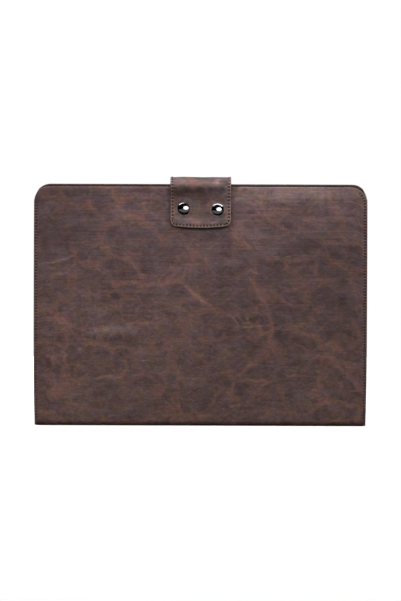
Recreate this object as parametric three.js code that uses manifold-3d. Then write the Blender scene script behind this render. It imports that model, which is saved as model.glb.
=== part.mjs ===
// Laptop sleeve: one leather sheet folded at the base and sewn along both sides, open at the top, with a
// closing tab that comes over the mouth from the back and is held on the front by two snap fasteners.
// Millimetres. Z is up, the front faces -Y, and the middle of the flat base is the origin.

import * as THREE from "three";
import { mergeVertices } from "three/addons/utils/BufferGeometryUtils.js";
import Module from "manifold-3d";

const solids = await Module();
solids.setup();

// Leather wrap
const WALL = 2.4; // leather with its backing
const FRONT_HEIGHT = 240;
const BACK_HEIGHT = 242.6;
const FOLD_RADIUS = 5; // where a panel turns into the flat base
const EDGE_RADIUS = 5; // where a panel turns to the side seam
const SEAM_GAP = 0.5; // between the edges of the two panels, which meet half-way along each side
const LEAST_FLAT = 0.1; // half of the flat base at the seam, where the fold is tightest

// Upper corners of the panels, cut by hand and so not quite alike. Side -1 is left, 1 is right.
const CORNERS = [
  { panel: "front", side: -1, radius: 15 },
  { panel: "front", side: 1, radius: 18 },
  { panel: "back", side: -1, radius: 16.5 },
  { panel: "back", side: 1, radius: 15 },
];

// Outline of the pouch by height: half of its width from the front, half of its depth from the side
const SECTIONS = [
  { z: 0, halfWidth: 166.5, halfDepth: 11.0 },
  { z: 20, halfWidth: 167.1, halfDepth: 11.2 },
  { z: 60, halfWidth: 167.6, halfDepth: 11.3 },
  { z: 130, halfWidth: 167.7, halfDepth: 11.1 },
  { z: 200, halfWidth: 167.6, halfDepth: 10.4 },
  { z: 242, halfWidth: 167.4, halfDepth: 9.6 },
];

// Soft hollows pressed into a panel: middle, half of the size, depth, and which panel
const DENTS = [
  { panel: "front", x: 0, z: 204, halfX: 62, halfZ: 42, depth: 0.7 }, // under the tab
  { panel: "front", x: -92, z: 122, halfX: 84, halfZ: 34, depth: 0.6 },
  { panel: "front", x: 118, z: 148, halfX: 62, halfZ: 52, depth: 0.5 },
  { panel: "back", x: -96, z: 150, halfX: 62, halfZ: 56, depth: 0.5 },
  { panel: "back", x: 70, z: 96, halfX: 90, halfZ: 44, depth: 0.6 },
];

// Closing tab
const TAB_WIDTH = 61;
const TAB_THICKNESS = 2.4;
const TAB_CORNER = 5.5;
const TAB_BOW = 2.4; // how far the middle of the free end hangs below its corners
const EAR_LIFT = 0.7; // how far the stitched borders stand up where the tab bends over the mouth
const EAR_WIDTH = 5;
const EAR_REACH = 9; // how far below the crest the lift dies away

// Inner face of the tab from its sewn foot to its free end: panel that it is measured from, height, and
// distance outward from that panel's outer face. Over the mouth the distance is negative.
const TAB_ROUTE = [
  { place: "foot", panel: "back", z: 203, standoff: 0.3 },
  { place: "foot middle", panel: "back", z: 214, standoff: 0.3 },
  { place: "foot top", panel: "back", z: 225, standoff: 0.4 },
  { place: "back lift", panel: "back", z: 233, standoff: 0.9 },
  { place: "back bulge", panel: "back", z: 240.2, standoff: 1.5 },
  { place: "back shoulder", panel: "back", z: 245, standoff: -1.2 },
  { place: "crest", panel: "front", z: 247, standoff: -8.0 },
  { place: "front shoulder", panel: "front", z: 245, standoff: 1.6 },
  { place: "front bulge", panel: "front", z: 240.4, standoff: 5.6 },
  { place: "tuck", panel: "front", z: 226, standoff: 3.3 },
  { place: "snaps", panel: "front", z: 217.5, standoff: 3.5 },
  { place: "free end", panel: "front", z: 198.3, standoff: 5.2 },
];

// Snap fasteners: place on the front panel
const SNAPS = [
  { side: "left", x: -16.9, z: 217.8 },
  { side: "right", x: 16.9, z: 217.1 },
];
const SNAP_GAP = 0.3; // metal to leather and metal to metal
const SNAP_STANDOFF = 3.3; // least distance from the front panel to the tab at a snap
const CAP_RADIUS = 6.25;
const CAP_RIM = 1; // height of the upright rim
const CAP_DOME = 2.5; // height of the dome above the rim
const SHANK_RADIUS = 1.6;
const HOLE_RADIUS = SHANK_RADIUS + SNAP_GAP;
const SOCKET_RADIUS = 5;
const SOCKET_WEB = 0.6; // floor of the socket
const STUD_BASE_RADIUS = 4.4;
const STUD_BASE = 0.6;
const STUD_NOSE_RADIUS = 2;
const STUD_NOSE = 1.2;
const WASHER_RADIUS = 4.5;
const WASHER = 0.8;

// Fineness of the faceted surfaces
const EDGE_TURNS = [90, 70, 50, 32, 15, 0]; // degrees round a side edge
const PANEL_INSETS = [7.5, 10.5, 13.5, 18, 34, 62, 94, 130]; // from the side edge, on the flat part
const PANEL_ROWS = 12;
const FOLD_STEPS = 4;
const TAB_CORNER_TURNS = [90, 60, 35, 15, 0];
const TAB_INSETS = [11, 18, 24];
const TAB_ROWS = 46;
const ROUND_STEPS = 28;
const DOME_STEPS = 6;

const LEATHER = { color: 0x584441, roughness: 0.55, metalness: 0 };
const TAB_LEATHER = { color: 0x63504d, roughness: 0.5, metalness: 0 };
const CHROME = { color: 0xd9dadd, roughness: 0.12, metalness: 1 };
const DULL_STEEL = { color: 0x9a9a9c, roughness: 0.4, metalness: 1 };

// A value of the section table at a height, on a smooth curve through the rows.
function sectionAt(z, column) {
  const last = SECTIONS.length - 1;
  let low = 0;
  while (low < last - 1 && SECTIONS[low + 1].z <= z) {
    low += 1;
  }
  const slopeAt = (row) => {
    const before = SECTIONS[Math.max(row - 1, 0)];
    const after = SECTIONS[Math.min(row + 1, last)];
    return (after[column] - before[column]) / (after.z - before.z);
  };
  const from = SECTIONS[low];
  const to = SECTIONS[low + 1];
  const span = to.z - from.z;
  const t = THREE.MathUtils.clamp((z - from.z) / span, 0, 1);
  const risen = t * t * (3 - 2 * t);
  const leaving = t * (1 - t) * (1 - t) * span;
  const arriving = t * t * (t - 1) * span;
  return (
    from[column] * (1 - risen) + to[column] * risen + slopeAt(low) * leaving + slopeAt(low + 1) * arriving
  );
}

// How deep the hollows of a panel are at a place.
function dentAt(panel, x, z) {
  let depth = 0;
  for (const dent of DENTS) {
    const away = Math.hypot((x - dent.x) / dent.halfX, (z - dent.z) / dent.halfZ);
    if (dent.panel === panel && away < 1) {
      depth += dent.depth * (0.5 + 0.5 * Math.cos(Math.PI * away));
    }
  }
  return depth;
}

// Distance of the flat part of a panel, its outer face, from the middle of the pouch.
function panelDepth(panel, x, z) {
  return sectionAt(z, "halfDepth") - dentAt(panel, x, z);
}

// How far in from a side edge a point lies that has turned by an angle round it.
function turnedInset(radius, degrees) {
  return radius * (1 - Math.sin(THREE.MathUtils.degToRad(degrees)));
}

// How far a rounded corner lies below the straight edge, at an inset from the side.
function cornerDrop(radius, inset) {
  const across = Math.max(radius - inset, 0);
  return radius - Math.sqrt(radius * radius - across * across);
}

// Closes a sheet between its outer and inner face, both given as rows of points, into one solid.
function sheetGeometry(outer, inner) {
  const rows = outer.length;
  const columns = outer[0].length;
  const positions = [];
  for (const point of [...outer.flat(), ...inner.flat()]) {
    positions.push(point.x, point.y, point.z);
  }
  const outside = (row, column) => row * columns + column;
  const inside = (row, column) => rows * columns + outside(row, column);
  const index = [];
  const quad = (a, b, c, d) => index.push(a, b, c, a, c, d);
  const border = [];
  for (let row = 0; row < rows - 1; row += 1) {
    for (let column = 0; column < columns - 1; column += 1) {
      const corners = [
        [row, column],
        [row + 1, column],
        [row + 1, column + 1],
        [row, column + 1],
      ];
      quad(...corners.map((corner) => outside(...corner)));
      quad(...corners.reverse().map((corner) => inside(...corner)));
    }
  }
  for (let column = 0; column < columns - 1; column += 1) {
    border.push([0, column]);
  }
  for (let row = 0; row < rows - 1; row += 1) {
    border.push([row, columns - 1]);
  }
  for (let column = columns - 1; column > 0; column -= 1) {
    border.push([rows - 1, column]);
  }
  for (let row = rows - 1; row > 0; row -= 1) {
    border.push([row, 0]);
  }
  border.forEach((place, step) => {
    const next = border[(step + 1) % border.length];
    quad(outside(...place), outside(...next), inside(...next), inside(...place));
  });
  const geometry = new THREE.BufferGeometry();
  geometry.setAttribute("position", new THREE.Float32BufferAttribute(positions, 3));
  geometry.setIndex(index);
  return geometry;
}

// A closed surface as a solid for joining and cutting.
function solidOf(geometry) {
  const bare = geometry.clone();
  bare.deleteAttribute("normal");
  bare.deleteAttribute("uv");
  const merged = mergeVertices(bare, 1e-4);
  return new solids.Manifold(
    new solids.Mesh({
      numProp: 3,
      vertProperties: new Float32Array(merged.attributes.position.array),
      triVerts: new Uint32Array(merged.index.array),
    }),
  );
}

// The surface of a solid.
function geometryOf(solid) {
  const mesh = solid.getMesh();
  const geometry = new THREE.BufferGeometry();
  geometry.setAttribute("position", new THREE.Float32BufferAttribute(mesh.vertProperties, mesh.numProp));
  geometry.setIndex(Array.from(mesh.triVerts));
  return geometry;
}

// One upright strip of the wrap, from the front mouth edge down, under the base and up to the back mouth edge.
// Its inset is measured from the side edge. Near that edge it has turned towards the seam.
function wrapStrip(side, inset) {
  const strip = { outer: [], inner: [] };
  const turnSine = 1 - Math.min(inset / EDGE_RADIUS, 1);
  const turnCosine = Math.sqrt(1 - turnSine * turnSine);
  const seam = SEAM_GAP / 2;
  const xAt = (z) => side * (sectionAt(z, "halfWidth") - inset);
  const depthAt = (panel, z) => seam + (panelDepth(panel, xAt(z), z) - seam) * turnCosine;
  // Puts down a point at a height and depth, and the inner one a wall further in. The lean is how far the
  // strip has turned from upright to level there.
  const place = (facing, z, depth, lean) => {
    const inX = WALL * turnSine * side;
    const inDepth = WALL * turnCosine * Math.cos(lean);
    strip.outer.push(new THREE.Vector3(xAt(z), facing * depth, z));
    strip.inner.push(new THREE.Vector3(xAt(z) - inX, facing * (depth - inDepth), z + WALL * Math.sin(lean)));
  };
  const upright = (panel, facing, height, share) => {
    const corner = CORNERS.find((row) => row.panel === panel && row.side === (side || 1));
    const top = height - cornerDrop(corner.radius, inset);
    const z = FOLD_RADIUS + (top - FOLD_RADIUS) * share;
    place(facing, z, depthAt(panel, z), 0);
  };
  const fold = (panel, facing, share) => {
    const lean = (Math.PI / 2) * share;
    const depth = depthAt(panel, FOLD_RADIUS);
    const round = Math.min(FOLD_RADIUS, depth - LEAST_FLAT);
    place(facing, FOLD_RADIUS * (1 - Math.sin(lean)), depth - round * (1 - Math.cos(lean)), lean);
  };
  for (let step = 0; step < PANEL_ROWS; step += 1) {
    upright("front", -1, FRONT_HEIGHT, 1 - step / PANEL_ROWS);
  }
  for (let step = 0; step <= FOLD_STEPS; step += 1) {
    fold("front", -1, step / FOLD_STEPS);
  }
  for (let step = FOLD_STEPS; step >= 0; step -= 1) {
    fold("back", 1, step / FOLD_STEPS);
  }
  for (let step = 1; step <= PANEL_ROWS; step += 1) {
    upright("back", 1, BACK_HEIGHT, step / PANEL_ROWS);
  }
  return strip;
}

// Turns strips side by side into rows of points.
function rowsOf(strips, face) {
  return strips[0][face].map((_, row) => strips.map((strip) => strip[face][row]));
}

// Strips from the left side to the right: each inset on the left, the middle once, each inset on the right.
function stripsAcross(insets, halfWidth, strip) {
  return [
    ...insets.map((inset) => strip(-1, inset)),
    strip(0, halfWidth),
    ...insets.toReversed().map((inset) => strip(1, inset)),
  ];
}

// Where a snap's stud goes through the front panel, and the way that the panel faces there.
function studSeat(snap) {
  const reach = 4;
  const depthAt = (z) => panelDepth("front", snap.x, z);
  const lean = (depthAt(snap.z + reach) - depthAt(snap.z - reach)) / (2 * reach);
  return {
    point: new THREE.Vector3(snap.x, -depthAt(snap.z), snap.z),
    facing: new THREE.Vector3(0, -1, -lean).normalize(),
  };
}

// Where a snap's cap goes through the tab, on the tab's inner face, and the way that the tab faces there.
function capSeat(snap) {
  const line = tabLine();
  let above = TAB_ROUTE.findIndex((row) => row.place === "crest") / (TAB_ROUTE.length - 1);
  let below = 1;
  for (let halving = 0; halving < 40; halving += 1) {
    const middle = (above + below) / 2;
    if (line.getPoint(middle).z > snap.z) {
      above = middle;
    } else {
      below = middle;
    }
  }
  const point = line.getPoint(below);
  const along = line.getTangent(below);
  point.x = snap.x;
  return { point, facing: new THREE.Vector3(0, along.z, -along.y) };
}

// Sets a shape made along +Y on a seat, with +Y the way that the seat faces.
function setOnSeat(geometry, seat) {
  const turn = new THREE.Quaternion().setFromUnitVectors(new THREE.Vector3(0, 1, 0), seat.facing);
  return geometry.applyQuaternion(turn).translate(...seat.point.toArray());
}

// Cuts the holes for both snaps through a piece of leather.
function withSnapHoles(geometry, seatOf) {
  const length = 12;
  let solid = solidOf(geometry);
  for (const snap of SNAPS) {
    const drill = new THREE.CylinderGeometry(HOLE_RADIUS, HOLE_RADIUS, length, ROUND_STEPS);
    solid = solid.subtract(solidOf(setOnSeat(drill, seatOf(snap))));
  }
  return geometryOf(solid);
}

function leatherWrap() {
  const insets = [...EDGE_TURNS.map((degrees) => turnedInset(EDGE_RADIUS, degrees)), ...PANEL_INSETS];
  const strips = stripsAcross(insets, sectionAt(BACK_HEIGHT, "halfWidth"), wrapStrip);
  return withSnapHoles(sheetGeometry(rowsOf(strips, "outer"), rowsOf(strips, "inner")), studSeat);
}

// The smooth line of the tab's inner face, seen from the side.
function tabLine() {
  const points = TAB_ROUTE.map((row) => {
    const side = row.panel === "back" ? 1 : -1;
    return new THREE.Vector3(0, side * (panelDepth(row.panel, 0, row.z) + row.standoff), row.z);
  });
  return new THREE.CatmullRomCurve3(points, false, "centripetal");
}

// One strip of the tab from its foot to its free end. Corners are rounded and the free end is bowed.
function tabStrip(line, side, inset) {
  const strip = { outer: [], inner: [] };
  const length = line.getLength();
  const halfWidth = TAB_WIDTH / 2;
  const x = side * (halfWidth - inset);
  const corner = cornerDrop(TAB_CORNER, inset);
  const bow = TAB_BOW * (x / halfWidth) ** 2;
  const start = corner;
  const end = length - corner - bow;
  const crest = Math.max(...TAB_ROUTE.map((row) => row.z));
  for (let step = 0; step <= TAB_ROWS; step += 1) {
    const share = Math.min((start + ((end - start) * step) / TAB_ROWS) / length, 1);
    const point = line.getPointAt(share);
    const along = line.getTangentAt(share);
    const outward = new THREE.Vector3(0, along.z, -along.y);
    const nearEdge = THREE.MathUtils.smoothstep(EAR_WIDTH - inset, 0, EAR_WIDTH);
    const nearCrest = THREE.MathUtils.smoothstep(point.z, crest - EAR_REACH, crest);
    point.addScaledVector(outward, EAR_LIFT * nearEdge * nearCrest);
    point.x = x;
    strip.inner.push(point);
    strip.outer.push(point.clone().addScaledVector(outward, TAB_THICKNESS));
  }
  return strip;
}

function closingTab() {
  const line = tabLine();
  const insets = [...TAB_CORNER_TURNS.map((degrees) => turnedInset(TAB_CORNER, degrees)), ...TAB_INSETS];
  const strips = stripsAcross(insets, TAB_WIDTH / 2, (side, inset) => tabStrip(line, side, inset));
  return withSnapHoles(sheetGeometry(rowsOf(strips, "outer"), rowsOf(strips, "inner")), capSeat);
}

function turned(profile) {
  const points = profile.map(([radius, height]) => new THREE.Vector2(radius, height));
  return new THREE.LatheGeometry(points, ROUND_STEPS);
}

// Cap, shank and socket of a snap: the socket lies under the tab, the shank goes through it.
function snapCap(snap) {
  const socketTop = -SNAP_GAP;
  const socketMouth = STUD_BASE + 2 * SNAP_GAP - SNAP_STANDOFF;
  const socketBore = STUD_NOSE_RADIUS + SNAP_GAP;
  const capUnder = TAB_THICKNESS + SNAP_GAP;
  const profile = [
    [0, socketTop - SOCKET_WEB],
    [socketBore, socketTop - SOCKET_WEB],
    [socketBore, socketMouth],
    [SOCKET_RADIUS, socketMouth],
    [SOCKET_RADIUS, socketTop],
    [SHANK_RADIUS, socketTop],
    [SHANK_RADIUS, capUnder],
    [CAP_RADIUS, capUnder],
  ];
  const sphere = (CAP_RADIUS ** 2 + CAP_DOME ** 2) / (2 * CAP_DOME);
  const domeTop = capUnder + CAP_RIM + CAP_DOME;
  for (let step = 0; step <= DOME_STEPS; step += 1) {
    const turn = Math.asin(CAP_RADIUS / sphere) * (1 - step / DOME_STEPS);
    profile.push([sphere * Math.sin(turn), domeTop - sphere * (1 - Math.cos(turn))]);
  }
  profile[profile.length - 1][0] = 0;
  return setOnSeat(turned(profile), capSeat(snap));
}

// Stud of a snap: the nose stands on the front panel, the shank goes through it to a washer inside.
function snapStud(snap) {
  const washerTop = -WALL - SNAP_GAP;
  const noseTop = SNAP_GAP + STUD_BASE + STUD_NOSE;
  const noseRound = STUD_NOSE_RADIUS / 4;
  return setOnSeat(
    turned([
      [0, washerTop - WASHER],
      [WASHER_RADIUS, washerTop - WASHER],
      [WASHER_RADIUS, washerTop],
      [SHANK_RADIUS, washerTop],
      [SHANK_RADIUS, SNAP_GAP],
      [STUD_BASE_RADIUS, SNAP_GAP],
      [STUD_BASE_RADIUS, SNAP_GAP + STUD_BASE],
      [STUD_NOSE_RADIUS, SNAP_GAP + STUD_BASE],
      [STUD_NOSE_RADIUS, noseTop - noseRound],
      [STUD_NOSE_RADIUS - noseRound, noseTop],
      [0, noseTop],
    ]),
    studSeat(snap),
  );
}

function piece(name, geometry, finish) {
  const faceted = geometry.index ? geometry.toNonIndexed() : geometry;
  faceted.computeVertexNormals();
  const mesh = new THREE.Mesh(faceted, new THREE.MeshStandardMaterial(finish));
  mesh.name = name;
  return mesh;
}

const sleeve = new THREE.Group();
sleeve.name = "laptop_sleeve";
sleeve.add(piece("leather_wrap", leatherWrap(), LEATHER));
sleeve.add(piece("closing_tab", closingTab(), TAB_LEATHER));
for (const snap of SNAPS) {
  sleeve.add(piece(`snap_cap_${snap.side}`, snapCap(snap), CHROME));
  sleeve.add(piece(`snap_stud_${snap.side}`, snapStud(snap), DULL_STEEL));
}

export default sleeve;
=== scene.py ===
"""Looks of a laptop sleeve in brown distressed leather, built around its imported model.

One leather sheet, folded at the base and sewn along both sides, makes the pouch. A stitched tab comes over
the open mouth from the back and is held on the front by two snap fasteners with polished caps.

Shapes are worked out in millimetres, and meshes are made in metres. Z is up, the front faces -Y, and the
middle of the flat base is the origin.
"""

import logging
import math
from dataclasses import dataclass, replace
from enum import Enum

import bpy
import numpy as np
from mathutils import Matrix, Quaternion, Vector
from mathutils.kdtree import KDTree


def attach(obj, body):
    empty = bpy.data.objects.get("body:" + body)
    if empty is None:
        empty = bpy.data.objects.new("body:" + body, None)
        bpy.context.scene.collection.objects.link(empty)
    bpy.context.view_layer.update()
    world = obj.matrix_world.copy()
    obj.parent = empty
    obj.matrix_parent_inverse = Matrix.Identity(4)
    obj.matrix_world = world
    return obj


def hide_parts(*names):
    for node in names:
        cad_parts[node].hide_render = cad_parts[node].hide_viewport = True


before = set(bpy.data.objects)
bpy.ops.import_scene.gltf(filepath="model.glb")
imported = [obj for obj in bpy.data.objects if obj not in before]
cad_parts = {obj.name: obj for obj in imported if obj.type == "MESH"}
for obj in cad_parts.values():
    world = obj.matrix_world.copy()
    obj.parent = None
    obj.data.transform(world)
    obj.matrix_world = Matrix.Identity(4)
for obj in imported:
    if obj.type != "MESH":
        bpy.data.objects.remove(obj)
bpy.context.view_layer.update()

MM = 0.001
BODY = "root"
BAKE_MAP = "OFBake"
LOG = logging.getLogger("sleeve")

Array = np.ndarray
Material = bpy.types.Material
Piece = bpy.types.Object
Socket = bpy.types.NodeSocket
Colour = tuple[float, float, float]
Place = tuple[float, float, float]
Span = tuple[float, float]
Fed = Socket | float | tuple[float, ...]


class Panel(Enum):
    """The two walls of the pouch, by the way they face along Y."""

    FRONT = -1
    BACK = 1


class Side(Enum):
    """The two sides of the sleeve, seen from the front."""

    LEFT = -1
    RIGHT = 1


class Mark(Enum):
    """Kinds of mark on the leather, by the part of the vertex attribute that holds them; some are painted
    light and shade.
    """

    RUST = 0
    PALE = 1
    DARK = 2


RUST, PALE, DARK = Mark


class Slot(Enum):
    """Material slots of the finished pieces."""

    LEATHER = "leather"
    THREAD = "thread"
    CHROME = "chrome"
    STEEL = "steel"


class Outline(Enum):
    """Outlines of a soft light."""

    OBLONG = "RECTANGLE"
    OVAL = "ELLIPSE"


def linear(*seen: float) -> Colour:
    """Turns red, green and blue as seen on a screen, 0 to 255, into linear light, 0 to 1."""
    shares = [part / 255 for part in seen]
    return tuple(
        share / 12.92 if share <= 0.04045 else ((share + 0.055) / 1.055) ** 2.4 for share in shares
    )


def smooth_step(values: Array, low: float, high: float) -> Array:
    """Rises smoothly from 0 at low and below to 1 at high and above."""
    share = np.clip((values - low) / (high - low), 0, 1)
    return share * share * (3 - 2 * share)


def bell(values: Array, middle: float, half: float) -> Array:
    """A soft bump, 1 at the middle and dying away over the half width."""
    return np.exp(-(((values - middle) / half) ** 2))


def unit(vectors: Array) -> Array:
    """Scales vectors along the last axis to a length of 1."""
    return vectors / np.maximum(np.linalg.norm(vectors, axis=-1, keepdims=True), 1e-9)


def lengths_along(points: Array) -> Array:
    """Measures the distance of each point of a line from the line's start."""
    return np.concatenate([[0.0], np.cumsum(np.linalg.norm(np.diff(points, axis=0), axis=1))])


def corner_drop(radius: float, inset: Array) -> Array:
    """How far a rounded corner lies below its straight edge, at distances in from the side."""
    across = np.clip(radius - inset, 0, radius)
    return radius - np.sqrt(radius**2 - across**2)


def outline_distance(inset: Array, drop: Array, radius: Array | float) -> Array:
    """Measures how far places lie from an outline with a rounded corner.

    Args:
        inset: Distance from the upright edge.
        drop: Distance from the level edge.
        radius: Radius of the corner between them.

    Returns:
        The distance from the nearest edge, or from the corner.
    """
    in_corner = (inset < radius) & (drop < radius)
    rounded = radius - np.hypot(radius - inset, radius - drop)
    return np.where(in_corner, rounded, np.minimum(inset, drop))


def soft_waves(x: Array, y: Array, wave_lengths: Span, seed: int) -> Array:
    """An uneven, smooth field made of plane waves that run in all directions.

    Args:
        x: Places across the sheet.
        y: Places along the sheet.
        wave_lengths: Shortest and longest wave length.
        seed: Seed of the directions, lengths and phases.

    Returns:
        The field at each place, mostly between -1 and 1.
    """
    chance = np.random.default_rng(seed)
    count = 24
    total = np.zeros_like(x)
    for _ in range(count):
        heading = chance.uniform(0, 2 * math.pi)
        turns = 2 * math.pi / chance.uniform(*wave_lengths)
        phase = chance.uniform(0, 2 * math.pi)
        total += np.sin(turns * (x * math.cos(heading) + y * math.sin(heading)) + phase)
    return total / math.sqrt(count / 2)


def ring_walls(rings: Array) -> Array:
    """Joins closed rings of vertices, each to the next, with four-sided faces.

    Args:
        rings: Vertices of each ring in the last axis, and the rings in the one before it.

    Returns:
        The vertices of each face.
    """
    after = np.roll(rings, -1, axis=-1)
    corners = [rings[..., :-1, :], after[..., :-1, :], after[..., 1:, :], rings[..., 1:, :]]
    return np.stack(corners, axis=-1).reshape(-1, 4)


def new_piece(name: str, points: Array, faces: list[list[int]], finishes: list[Material]) -> Piece:
    """Makes a smooth mesh object.

    Args:
        name: Name of the piece.
        points: Its points in millimetres.
        faces: The vertices of each face.
        finishes: Its materials.

    Returns:
        The piece, in the scene.
    """
    mesh = bpy.data.meshes.new(name)
    mesh.from_pydata((points * MM).tolist(), [], faces)
    mesh.shade_smooth()
    for finish in finishes:
        mesh.materials.append(finish)
    piece = bpy.data.objects.new(name, mesh)
    bpy.context.scene.collection.objects.link(piece)
    return piece


def hold(mesh: bpy.types.Mesh, name: str, values: Array) -> None:
    """Keeps a number or a vector for each vertex of a mesh.

    Args:
        mesh: The mesh.
        name: Name under which materials find the values.
        values: The numbers or vectors.
    """
    kind, part = ("FLOAT", "value") if values.ndim == 1 else ("FLOAT_VECTOR", "vector")
    attribute = mesh.attributes.new(name, kind, "POINT")
    attribute.data.foreach_set(part, values.astype(np.float32).ravel())


def mount(piece: Piece, slot: Slot, *nodes: str) -> None:
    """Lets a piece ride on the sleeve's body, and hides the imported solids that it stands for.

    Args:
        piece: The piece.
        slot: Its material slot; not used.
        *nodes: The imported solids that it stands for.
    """
    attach(piece, BODY)
    if nodes:
        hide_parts(*nodes)


@dataclass(frozen=True)
class Section:
    """Half of the pouch's width and depth at a height."""

    z: float
    half_width: float
    half_depth: float


@dataclass(frozen=True)
class Dent:
    """A soft hollow pressed into a panel."""

    panel: Panel
    x: float
    z: float
    half_x: float
    half_z: float
    depth: float

    def depth_at(self, x: Array, z: Array) -> Array:
        """How deep the hollow is at places of its panel."""
        away = np.minimum(np.hypot((x - self.x) / self.half_x, (z - self.z) / self.half_z), 1)
        return self.depth * (0.5 + 0.5 * np.cos(math.pi * away))


@dataclass(frozen=True)
class Patch:
    """A patch of the leather: its middle, half of its size, its tilt in degrees and how strong it is."""

    mark: Mark
    x: float
    z: float
    half_length: float
    half_width: float
    tilt: float
    strength: float

    def strength_at(self, x: Array, z: Array) -> Array:
        """How strong the patch is at places of its sheet.

        Args:
            x: Places across the sheet.
            z: Heights on the sheet.

        Returns:
            The strength at each place.
        """
        tilt = math.radians(self.tilt)
        along = (x - self.x) * math.cos(tilt) + (z - self.z) * math.sin(tilt)
        across = (z - self.z) * math.cos(tilt) - (x - self.x) * math.sin(tilt)
        return self.strength * bell(along, 0, self.half_length) * bell(across, 0, self.half_width)


@dataclass(frozen=True)
class Crease:
    """A line in the leather: half of its width, how strong it is, and the places that it passes."""

    mark: Mark
    half_width: float
    strength: float
    places: tuple[Span, ...]
    taper: float = 0.3  # share of the length that each end thins out over, and of the strength left there

    def strength_at(self, x: Array, z: Array) -> Array:
        """How strong the line is at places of its sheet.

        Args:
            x: Places across the sheet.
            z: Heights on the sheet.

        Returns:
            The strength at each place.
        """
        apart = np.full(x.shape, np.inf)
        along = np.zeros_like(apart)
        count = len(self.places) - 1
        for index, ((from_x, from_z), (to_x, to_z)) in enumerate(zip(self.places, self.places[1:])):
            run_x, run_z = to_x - from_x, to_z - from_z
            share = ((x - from_x) * run_x + (z - from_z) * run_z) / (run_x**2 + run_z**2)
            share = np.clip(share, 0, 1)
            here = np.hypot(x - from_x - share * run_x, z - from_z - share * run_z)
            along = np.where(here < apart, (index + share) / count, along)
            apart = np.minimum(apart, here)
        whole = smooth_step(along, 0, self.taper) * smooth_step(1 - along, 0, self.taper)
        thinned = self.taper + (1 - self.taper) * whole
        return self.strength * thinned * bell(apart, 0, self.half_width)


@dataclass(frozen=True)
class Shade:
    """A broad part of a sheet and the share by which it is lighter or, below 0, darker: partly tone, partly
    painted light and shade.
    """

    x: float
    z: float
    half_x: float
    half_z: float
    share: float

    def share_at(self, x: Array, z: Array) -> Array:
        """By what share places of the sheet are lighter."""
        return self.share * bell(x, self.x, self.half_x) * bell(z, self.z, self.half_z)


@dataclass(frozen=True)
class Chart:
    """The marks of one leather face."""

    creases: tuple[Crease, ...] = ()
    patches: tuple[Patch, ...] = ()
    shades: tuple[Shade, ...] = ()
    waver: float = 0.9  # how far the marks stray from where they are charted
    waver_lengths: Span = (14, 40)

    def wear(self, x: Array, z: Array) -> Array:
        """Paints the creases and patches onto places of the face.

        Args:
            x: Places across the face.
            z: Heights on the face.

        Returns:
            How strong each kind of mark is at each place, in the last axis.
        """
        x = x + self.waver * soft_waves(x, z, self.waver_lengths, seed=5)
        z = z + self.waver * soft_waves(x, z, self.waver_lengths, seed=6)
        wear = np.zeros((*x.shape, len(Mark)))
        for mark in (*self.creases, *self.patches):
            kind = mark.mark.value
            wear[..., kind] = np.maximum(wear[..., kind], mark.strength_at(x, z))
        return wear

    def shade(self, x: Array, z: Array) -> Array:
        """By what share places of the face are lighter, from all its broad shades."""
        return sum((shade.share_at(x, z) for shade in self.shades), np.zeros_like(x))


@dataclass(frozen=True)
class Strewing:
    """Short creases strewn over a panel, most of them near the level."""

    count: int = 110
    heading_spread: float = 0.8  # radians off the level
    bend_spread: float = 0.3  # radians from one part of a crease to the next
    steps: Span = (4, 10)  # least and most length of a part
    bends: tuple[int, int] = (2, 6)  # least number of parts, and one more than the most
    half_widths: Span = (0.9, 2.0)
    pale_share: float = 0.2  # of the creases that are pale
    pale_strength: float = 0.25
    rust_strength: float = 0.55
    least_share: float = 0.4  # of its strength that a crease may come down to

    def creases(self, half_span: float, height: float, seed: int) -> tuple[Crease, ...]:
        """Strews the creases.

        Args:
            half_span: Half of the panel's width.
            height: Height of the panel.
            seed: Seed of their places and shapes.

        Returns:
            The creases.
        """
        chance = np.random.default_rng(seed)
        creases = []
        for _ in range(self.count):
            x = chance.uniform(-half_span, half_span)
            z = chance.uniform(0, height)
            heading = chance.normal(0, self.heading_spread)
            step = chance.uniform(*self.steps)
            places = [(x, z)]
            for _ in range(chance.integers(*self.bends)):
                heading += chance.normal(0, self.bend_spread)
                x += step * math.cos(heading)
                z += step * math.sin(heading)
                places.append((x, z))
            is_pale = chance.uniform() < self.pale_share
            mark, most = (PALE, self.pale_strength) if is_pale else (RUST, self.rust_strength)
            strength = most * chance.uniform(self.least_share, 1.0)
            creases.append(Crease(mark, chance.uniform(*self.half_widths), strength, tuple(places)))
        return tuple(creases)


SECTIONS = (
    Section(0, 166.5, 11.0),
    Section(20, 167.1, 11.2),
    Section(60, 167.6, 11.3),
    Section(130, 167.7, 11.1),
    Section(200, 167.6, 10.4),
    Section(242, 167.4, 9.6),
)
UPPER_HALF_WIDTH = SECTIONS[-1].half_width

DENTS = (
    Dent(Panel.FRONT, 0, 204, 62, 42, 0.7),
    Dent(Panel.FRONT, -92, 122, 84, 34, 0.6),
    Dent(Panel.FRONT, 118, 148, 62, 52, 0.5),
    Dent(Panel.BACK, -96, 150, 62, 56, 0.5),
    Dent(Panel.BACK, 70, 96, 90, 44, 0.6),
)
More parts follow.
